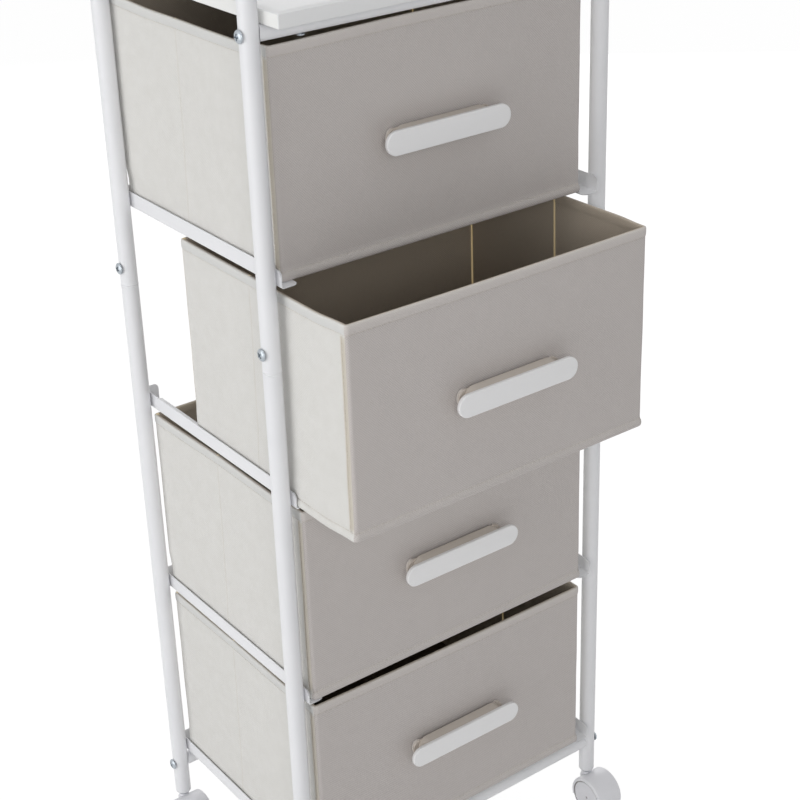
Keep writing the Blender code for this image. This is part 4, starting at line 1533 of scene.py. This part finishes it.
    def build(self, stitches: StitchRow, screws: ScrewSet) -> None:
        """Make the drawer's pieces and seat them on its body.

        Args:
            stitches: the tree that lays the stitches.
            screws: the set that the pull's screws come from.
        """
        number = self.number
        seat(self.box(), self.body, "drawer_fabric", f"drawer_{number}_box")
        guide = lines_mesh(f"drawer_{number}_seams", self.seam_lines())
        sizes = {"Pitch": self.stitch_pitch, "Length": self.stitch_length, "Thickness": self.thread}
        seat(stitches.piece(f"drawer_{number}_stitches", guide, sizes), self.body, "drawer_fabric")
        seat(self.base_card(), self.body, "base_card", f"drawer_{number}_base_insert")
        pull = DrawerPull(f"drawer_{number}_handle")
        seat(pull.piece(f"drawer_{number}_pull"), self.body, "handle_plastic", f"drawer_{number}_handle")
        inner, backwards = self.origin.y + self.wall + 0.1 * MM, Vector((0.0, 1.0, 0.0))
        places = [(Vector((foot.x, inner, foot.z)), backwards, self.pull_screw) for foot in pull.feet]
        seat(screws.piece(f"drawer_{number}_pull_screws", places), self.body, "zinc")


@dataclass
class DrawerPull:
    """A moulded bridge handle: a thin stadium plate, a bar behind it and two feet that flare into it."""

    node: str
    bar: float = 17 * MM
    plate: float = 4.4 * MM  # the face plate; the bar behind it stands back a little
    plate_rim: float = 0.4 * MM  # bevel of the plate's rear edge
    set_back: float = 0.7 * MM
    edge: float = 1.0 * MM
    back_edge: float = 0.6 * MM
    end_facets: int = 14
    foot_span: float = 116 * MM
    foot_across: float = 7.2 * MM
    foot_upright: float = 9.6 * MM
    foot_lap: float = 1.2 * MM  # how far each foot reaches into the bar
    foot_edge: float = 0.5 * MM  # bevel above the groove
    foot_neck: float = 1.8 * MM  # how far each foot steps in at the groove
    foot_steps: int = 12
    bar_end: float = 1.5 * MM  # how far the bar runs past each foot's axis; the plate runs on
    flare_along: float = 7 * MM  # each foot widens into the bar on its inner side alone
    flare_up: float = 1.4 * MM
    flare_power: float = 2.2
    undercut: float = 1.2 * MM  # groove round each foot, where it meets the cloth
    facets: int = 40
    tint: float = 0.75  # how strongly painted warm shade and reflection of the cloth tint the bar
    tint_from: float = 0.3 * MM  # how far before the plate's rear face that begins
    tint_loss: float = 0.7  # how much of it the feet lose
    tint_reach: float = 6 * MM  # over what length behind the bar

    def __post_init__(self) -> None:
        """Take the pull's size and place from its solid."""
        self.low, self.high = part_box(self.node)
        self.middle = (self.low + self.high) / 2
        self.feet = [Vector((self.middle.x + s * self.foot_span / 2, self.high.y, self.middle.z))
                     for s in (-1, 1)]

    def piece(self, name: str) -> bpy.types.Object:
        """Join the bar and both feet, and mark where painted warm shade of the cloth tints them.

        Args:
            name: the piece's name.

        Returns:
            The pull.
        """
        work = merge(self.bar_mesh(), *(self.foot_mesh(foot) for foot in self.feet))
        made = finished(name, work, PULL_WHITE.material(), sharp=50)
        self.mark_shade(made)
        return made

    def bar_mesh(self) -> bmesh.types.BMesh:
        """Loft the plate and the bar behind it.

        Returns:
            The mesh in the making.
        """
        half, e = (self.high - self.low) / 2, self.back_edge
        front = [(self.edge * (1 - math.sin(a)), self.edge * (1 - math.cos(a))) for a in quarter(6)]
        rim = [(0.0, self.plate - self.plate_rim), (self.plate_rim, self.plate)]
        back = [(self.set_back + e * (1 - math.cos(a)), self.bar - e * (1 - math.sin(a))) for a in quarter(5)]
        sections = [(half.x, inset, deep) for inset, deep in front + rim]
        length = self.foot_span / 2 + self.bar_end
        sections += [(length, inset, deep) for inset, deep in [(self.set_back, self.plate), *back]]
        rings = []
        for reach, inset, deep in sections:
            flat = rounded_outline(reach - inset, half.z - inset, half.z - inset, self.end_facets)
            y = self.low.y + deep
            rings.append([Vector((self.middle.x + x, y, self.middle.z + z)) for x, z in flat])
        return skin(rings)

    def foot_mesh(self, foot: Vector) -> bmesh.types.BMesh:
        """Loft one foot from the bar to the cloth.

        Args:
            foot: the middle of its face on the cloth.

        Returns:
            The mesh in the making.
        """
        start, end = self.low.y + self.bar - self.foot_lap, foot.y - self.undercut - self.foot_edge
        inward = math.copysign(1.0, self.middle.x - foot.x)
        rings = []
        for i in range(self.foot_steps + 1):
            share = i / self.foot_steps
            flare = (1 - share) ** self.flare_power
            centre, y = foot.x + inward * self.flare_along * flare, start + (end - start) * share
            flat = ellipse(self.foot_across + self.flare_along * flare,
                           self.foot_upright + self.flare_up * flare, self.facets)
            rings.append([Vector((centre + x, y, foot.z + z)) for x, z in flat])
        groove = ((self.foot_edge, self.undercut), (self.foot_neck, self.undercut), (self.foot_neck, 0.0))
        for inset, back_off in groove:
            flat = ellipse(self.foot_across - inset, self.foot_upright - inset, self.facets)
            rings.append([Vector((foot.x + x, foot.y - back_off, foot.z + z)) for x, z in flat])
        return skin(rings)

    def mark_shade(self, made: bpy.types.Object) -> None:
        """Note on the pull how far back each point is, to paint the cloth's warm shade and reflection on the
        white.

        Args:
            made: the finished pull.
        """
        shade = made.data.attributes.new("wear_and_shade", "FLOAT", "POINT")
        for i, vertex in enumerate(made.data.vertices):
            deep = vertex.co.y - self.low.y
            near = smooth(self.bar, self.bar + self.tint_reach, deep)
            behind = smooth(self.plate - self.tint_from, self.plate, deep)
            shade.data[i].value = self.tint * behind * (1 - self.tint_loss * near)


# Turned outlines of a caster in mm.
FLANGE_OUTLINE = ((0.3, 3.0), (0.0, 2.7), (0.0, 0.5), (0.2, 0.3))  # in from its edge, and below the post
COLLAR_OUTLINE = ((1.2, 0.0), (1.2, 17.0), (0.35, 19.5), (0.0, 21.5))  # beyond its radius, above the axle
HUB_OUTLINE = ((0.0, 1.4), (1.5, 1.4), (1.7, 0.5), (3.2, 0.4))  # out from the axle, and below the face
DISC_OUTLINE = ((7.0, 0.25), (3.8, 0.0), (3.3, 0.15), (3.1, 1.7), (1.5, 1.7))  # in from the tread


@dataclass
class SwivelCaster:
    """A twin-wheel caster: zinc stem, moulded hood with its collar, and a pair of wheels on one axle."""

    corner: str
    wheel_radius: float = 24.5 * MM
    wheel_edge: float = 1.2 * MM
    wheel_width: float = 10.3 * MM
    wheel_back: float = 1.4 * MM  # bevel of the tread's inner edge
    axle_radius: float = 3 * MM
    hood_gap: float = 0.7 * MM
    hood_wall: float = 1.6 * MM
    hood_edge: float = 2.2 * MM
    hood_arris: float = 0.4 * MM
    crown: float = 0.25 * MM
    lip: float = 1.6 * MM  # how far the hood's rim laps over the wheel's face
    lip_wall: float = 0.35 * MM
    web: float = 6.5 * MM
    web_bore: float = 3.4 * MM
    web_lap: float = 0.3 * MM
    collar_radius: float = 6.3 * MM
    collar_bore: float = 4.4 * MM
    collar_drop: float = 3.0 * MM  # how far the collar ends below the solid's top
    shank: float = 4 * MM
    shank_tip: float = 1 * MM
    flange_inset: float = 0.5 * MM
    skirt: float = 8 * MM  # how far the hood reaches below the axle
    facets: int = 56
    pin_facets: int = 32
    sweep_steps: int = 40
    tread_wear: float = 0.5
    tread_reach: float = 1.5 * MM
    groove_in: float = 2.3 * MM  # middle of the groove beside the tread, greyed as painted shade
    groove_half: float = 0.85 * MM
    pin_hole: float = 1.6 * MM

    def __post_init__(self) -> None:
        """Take the caster's size and place from its solids."""
        low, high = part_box(f"caster_wheels_{self.corner}")
        self.axle = (low + high) / 2
        self.reach = (high.x - low.x) / 2
        self.hood_low, self.hood_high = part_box(f"caster_hood_{self.corner}")
        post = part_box(f"lower_post_{self.corner}")
        self.stem = (post[0] + post[1]) / 2
        self.upright = Matrix.Translation((self.stem.x, self.stem.y, 0.0))

    def build(self) -> None:
        """Make the caster's pieces and seat them on their bodies."""
        corner = self.corner
        stem = finished(f"caster_pin_{corner}", self.pin(), ZINC.material())
        seat(stem, "frame", "zinc", f"caster_stem_{corner}")
        hood = finished(f"caster_fender_{corner}", self.hood(), HOOD_WHITE.material())
        seat(hood, f"caster_{corner}", "caster_plastic", f"caster_hood_{corner}")
        pair = finished(f"caster_wheel_pair_{corner}", self.wheels(), WHEEL_WHITE.material(), sharp=35)
        self.mark_wear_and_shade(pair)
        seat(pair, f"wheels_{corner}", "wheel_plastic", f"caster_wheels_{corner}")

    def pin(self) -> bmesh.types.BMesh:
        """Turn the stem with its flange under the post's foot.

        Returns:
            The mesh in the making.
        """
        low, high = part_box(f"caster_stem_{self.corner}")
        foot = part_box(f"lower_post_{self.corner}")[0].z
        edge, shank, tip = self.collar_radius - self.flange_inset, self.shank, self.shank_tip
        flange = [(edge - x * MM, foot - drop * MM) for x, drop in FLANGE_OUTLINE]
        lower = [(0.0, low.z), (shank, low.z), (shank, flange[0][1])]
        upper = [(shank, flange[-1][1]), (shank, high.z - tip), (shank - tip, high.z), (0.0, high.z)]
        return lathe(lower + flange + upper, self.pin_facets, self.upright)

    def swept(self, section: Sequence[tuple[float, float]], start: float, end: float) -> bmesh.types.BMesh:
        """Sweep a section round the axle.

        Args:
            section: its points, across the caster and out from the axle.
            start: the first angle in degrees.
            end: the last angle in degrees.

        Returns:
            The mesh in the making.
        """
        rings = []
        for i in range(self.sweep_steps + 1):
            a = math.radians(start + (end - start) * i / self.sweep_steps)
            rings.append([self.axle + Vector((x, r * math.cos(a), r * math.sin(a))) for x, r in section])
        return skin(rings)

    def hood(self) -> bmesh.types.BMesh:
        """Make the drum over the wheels, the web between them and the collar round the stem.

        Returns:
            The mesh in the making.
        """
        outer = self.wheel_radius + self.hood_gap + self.hood_wall
        half = (self.hood_high.x - self.hood_low.x) / 2
        e, inner = self.hood_edge, outer - self.hood_wall
        rim = [(half - e + e * math.sin(a), outer - e + e * math.cos(a)) for a in quarter(6)]
        crown = [(-x, r) for x, r in reversed(rim)] + [(0.0, outer + self.crown)] + rim
        lip, back = self.wheel_radius - self.lip, half - self.lip_wall
        under = [(half, lip), (back, lip), (back, inner), (-back, inner), (-back, lip), (-half, lip)]
        dip = math.degrees(math.asin(self.skirt / outer))
        shell = rounded(self.swept(crown + under, -dip, 180 + dip), self.hood_arris)
        wide, reach = self.web, inner + self.web_lap
        plate = [(-wide, self.web_bore), (-wide, reach), (wide, reach), (wide, self.web_bore)]
        web = self.swept(plate, -dip, 180 + dip)
        top, z = self.hood_high.z - self.collar_drop, self.axle.z
        r, bore = self.collar_radius, self.collar_bore
        wall = [(r + x * MM, z + up * MM) for x, up in COLLAR_OUTLINE]
        rim = [(r, top - 0.7 * MM), (r - 0.6 * MM, top)]
        collar = lathe([(bore, z), *wall, *rim, (bore, top), (bore, z)], self.facets, self.upright)
        return merge(shell, web, collar)

    def wheels(self) -> bmesh.types.BMesh:
        """Turn the twin wheels: rounded treads, dished discs and the axle between them.

        Returns:
            The mesh in the making.
        """
        r, reach, e = self.wheel_radius, self.reach, self.wheel_edge
        inner = reach - self.wheel_width
        disc = [(x * MM, reach - drop * MM) for x, drop in HUB_OUTLINE]
        disc += [(r - x * MM, reach - drop * MM) for x, drop in DISC_OUTLINE]
        tread = [(r - e + e * math.sin(a), reach - e + e * math.cos(a)) for a in quarter(6)]
        back = [(r, inner + self.wheel_back), (r - self.wheel_back, inner), (self.axle_radius, inner)]
        half = disc + tread + back
        profile = half + [(x, -h) for x, h in reversed(half)]
        turn = Matrix.Translation(self.axle) @ Matrix.Rotation(math.pi / 2, 4, "Y")
        return lathe(profile, self.facets, turn)

    def mark_wear_and_shade(self, pair: bpy.types.Object) -> None:
        """Note on the wheels the wear at the tread, the painted shade in the groove and the grey round the
        pin's hole.

        Args:
            pair: the finished wheels.
        """
        wear_and_shade = pair.data.attributes.new("wear_and_shade", "FLOAT", "POINT")
        for i, vertex in enumerate(pair.data.vertices):
            spot = vertex.co - self.axle
            out = math.hypot(spot.y, spot.z)
            # The groove's grey is painted shade.
            groove = abs(out - self.wheel_radius + self.groove_in) < self.groove_half
            worn_and_shaded = self.tread_wear * smooth(self.wheel_radius - self.tread_reach, self.wheel_radius, out)
            wear_and_shade.data[i].value = worn_and_shaded + (1.0 if out < self.pin_hole or groove else 0.0)


@dataclass
class FrameScrews:
    """The zinc pan-head screws of the frame, set where their solids are."""

    side_head: float = 3.5 * MM  # from a side screw's outer end to its head's seat
    board_head: float = 2.6 * MM  # and from a board screw's lower end

    def build(self, screws: ScrewSet) -> None:
        """Set every head and seat them on the frame as one piece.

        Args:
            screws: the set that the heads come from.
        """
        places, nodes = [], []
        for corner in CORNERS:
            for kind in ("joint_screw", "top_tube_screw", "bottom_tube_screw"):
                node = f"{kind}_{corner}"
                low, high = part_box(node)
                middle = (low + high) / 2
                out = -1.0 if corner.endswith("left") else 1.0
                edge = low.x if out < 0 else high.x
                head = Vector((edge - out * self.side_head, middle.y, middle.z))
                places.append((head, Vector((out, 0.0, 0.0)), high.z - low.z))
                nodes.append(node)
            node = f"board_screw_{corner}"
            low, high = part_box(node)
            middle = (low + high) / 2
            head = Vector((middle.x, middle.y, low.z + self.board_head))
            places.append((head, Vector((0.0, 0.0, -1.0)), high.x - low.x))
            nodes.append(node)
        seat(screws.piece("frame_screw_heads", places), "frame", "zinc", *nodes)


@dataclass(frozen=True)
class Softbox:
    """A square lamp: where it stands, its width in metres and its power in watts."""

    name: str
    place: tuple[float, float, float]
    size: float
    power: float


@dataclass
class Studio:
    """Pale floor, white surround, soft lamps and the camera."""

    position: tuple[float, float, float] = (-0.99100, -1.38585, 1.47507)
    yaw: float = 35.8961
    pitch: float = 24.9116
    roll: float = -1.9847
    focal_pixels: float = 1710.96
    image: int = 800
    centre_y: float = 340.0  # image row of the lens axis: the photograph is cut from a taller frame
    sensor: float = 36.0
    ambient: float = 0.38
    aim: tuple[float, float, float] = (0.0, 0.05, 0.5)  # what every lamp faces
    lamps: tuple[Softbox, ...] = (Softbox("key_left", (-2.9, 0.1, 0.9), 2.6, 39.5),
                                  Softbox("fill_front", (-1.4, -2.7, 1.9), 1.0, 18.2),
                                  Softbox("top_soft", (0.1, 0.0, 3.4), 2.0, 14.0),
                                  Softbox("back_soft", (2.2, 2.6, 1.1), 2.4, 30.0))
    floor_half: float = 14.0
    floor_colour: str = "#F2F2F2"
    floor_white: float = 1.14  # brings the floor to white where it is seen, with the share below
    floor_share: float = 0.8  # the rest of what is seen is the lit floor, with its shadow

    def build(self) -> None:
        """Set the camera, the lamps, the world and the floor."""
        bpy.context.scene.view_settings.view_transform = "Standard"
        self.camera()
        for box in self.lamps:
            self.lamp(box)
        self.world()
        self.floor()

    def camera(self) -> None:
        """Place the camera at the photograph's view."""
        yaw, pitch, roll = (math.radians(v) for v in (self.yaw, self.pitch, self.roll))
        ahead = Vector((math.sin(yaw) * math.cos(pitch), math.cos(yaw) * math.cos(pitch), -math.sin(pitch)))
        right = Vector((math.cos(yaw), -math.sin(yaw), 0.0))
        up = right.cross(ahead)
        across = math.cos(roll) * right + math.sin(roll) * up
        above = -math.sin(roll) * right + math.cos(roll) * up
        data = bpy.data.cameras.new("photo_view")
        data.sensor_width = self.sensor
        data.lens = self.focal_pixels * self.sensor / self.image
        data.shift_y = (self.centre_y - self.image / 2) / self.image
        data.clip_start, data.clip_end = 0.05, 60.0
        camera = bpy.data.objects.new("photo_view", data)
        turn = Matrix((across, above, -ahead)).transposed().to_4x4()
        camera.matrix_world = Matrix.Translation(self.position) @ turn
        bpy.context.scene.collection.objects.link(camera)
        bpy.context.scene.camera = camera

    def lamp(self, box: Softbox) -> None:
        """Add a lamp that faces the cart's middle.

        Args:
            box: the lamp's settings.
        """
        data = bpy.data.lights.new(box.name, "AREA")
        data.shape = "SQUARE"
        data.size = box.size
        data.energy = box.power
        lamp = bpy.data.objects.new(box.name, data)
        lamp.location = box.place
        ahead = Vector(self.aim) - Vector(box.place)
        lamp.rotation_euler = ahead.to_track_quat("-Z", "Y").to_euler()
        bpy.context.scene.collection.objects.link(lamp)

    def world(self) -> None:
        """White to the eye and in reflections, and a plain soft light on the object."""
        world = bpy.data.worlds.new("white_surround")
        bpy.context.scene.world = world
        world.use_nodes = True
        tree = world.node_tree
        shade = tree.nodes["Background"]
        strength = add_node(tree, "ShaderNodeMapRange", None,
                            {"Value": self.seen(tree), 3: self.ambient, 4: 1.0})
        tree.links.new(strength.outputs["Result"], shade.inputs["Strength"])
        shade.inputs["Color"].default_value = (1.0, 1.0, 1.0, 1.0)

    def seen(self, tree: bpy.types.NodeTree) -> bpy.types.NodeSocket:
        """Tell the rays that show the surround: to the eye, in a reflection or through a clear part.

        Args:
            tree: the floor's or the world's node tree.

        Returns:
            A socket that is 1 for such a ray and 0 for others.
        """
        ray = add_node(tree, "ShaderNodeLightPath").outputs
        mirrored = add_node(tree, "ShaderNodeMath", {"operation": "MAXIMUM"},
                            {0: ray["Is Glossy Ray"], 1: ray["Is Transmission Ray"]})
        shown = add_node(tree, "ShaderNodeMath", {"operation": "MAXIMUM"},
                         {0: ray["Is Camera Ray"], 1: mirrored.outputs["Value"]})
        return shown.outputs["Value"]

    def floor(self) -> None:
        """A wide pale floor that shows white and keeps the object's shadow."""
        work = bmesh.new()
        bmesh.ops.create_grid(work, x_segments=8, y_segments=8, size=self.floor_half)
        material = bpy.data.materials.new("pale_floor")
        material.use_nodes = True
        tree = material.node_tree
        shader = tree.nodes["Principled BSDF"]
        shader.inputs["Base Color"].default_value = linear(self.floor_colour)
        shader.inputs["Roughness"].default_value = 0.9
        white = add_node(tree, "ShaderNodeEmission", None,
                         {"Color": (1.0, 1.0, 1.0, 1.0), "Strength": self.floor_white})
        share = add_node(tree, "ShaderNodeMath", {"operation": "MULTIPLY"},
                         {0: self.seen(tree), 1: self.floor_share})
        mixed = add_node(tree, "ShaderNodeMixShader", None,
                         {0: share.outputs["Value"], 1: shader.outputs["BSDF"], 2: white.outputs["Emission"]})
        tree.links.new(mixed.outputs["Shader"], tree.nodes["Material Output"].inputs["Surface"])
        finished("studio_floor", work, material)


def main() -> None:
    """Build the cart's pieces in order, then the studio."""
    screws = ScrewSet()
    TubeFrame().build()
    TopBoard().build()
    FrameScrews().build(screws)
    stitches = StitchRow(THREAD.material())
    for level in LEVELS:
        FabricDrawer(level).build(stitches, screws)
    for corner in CORNERS:
        SwivelCaster(corner).build()
    screws.clear()
    Studio().build()


if __name__ == "__main__":
    main()
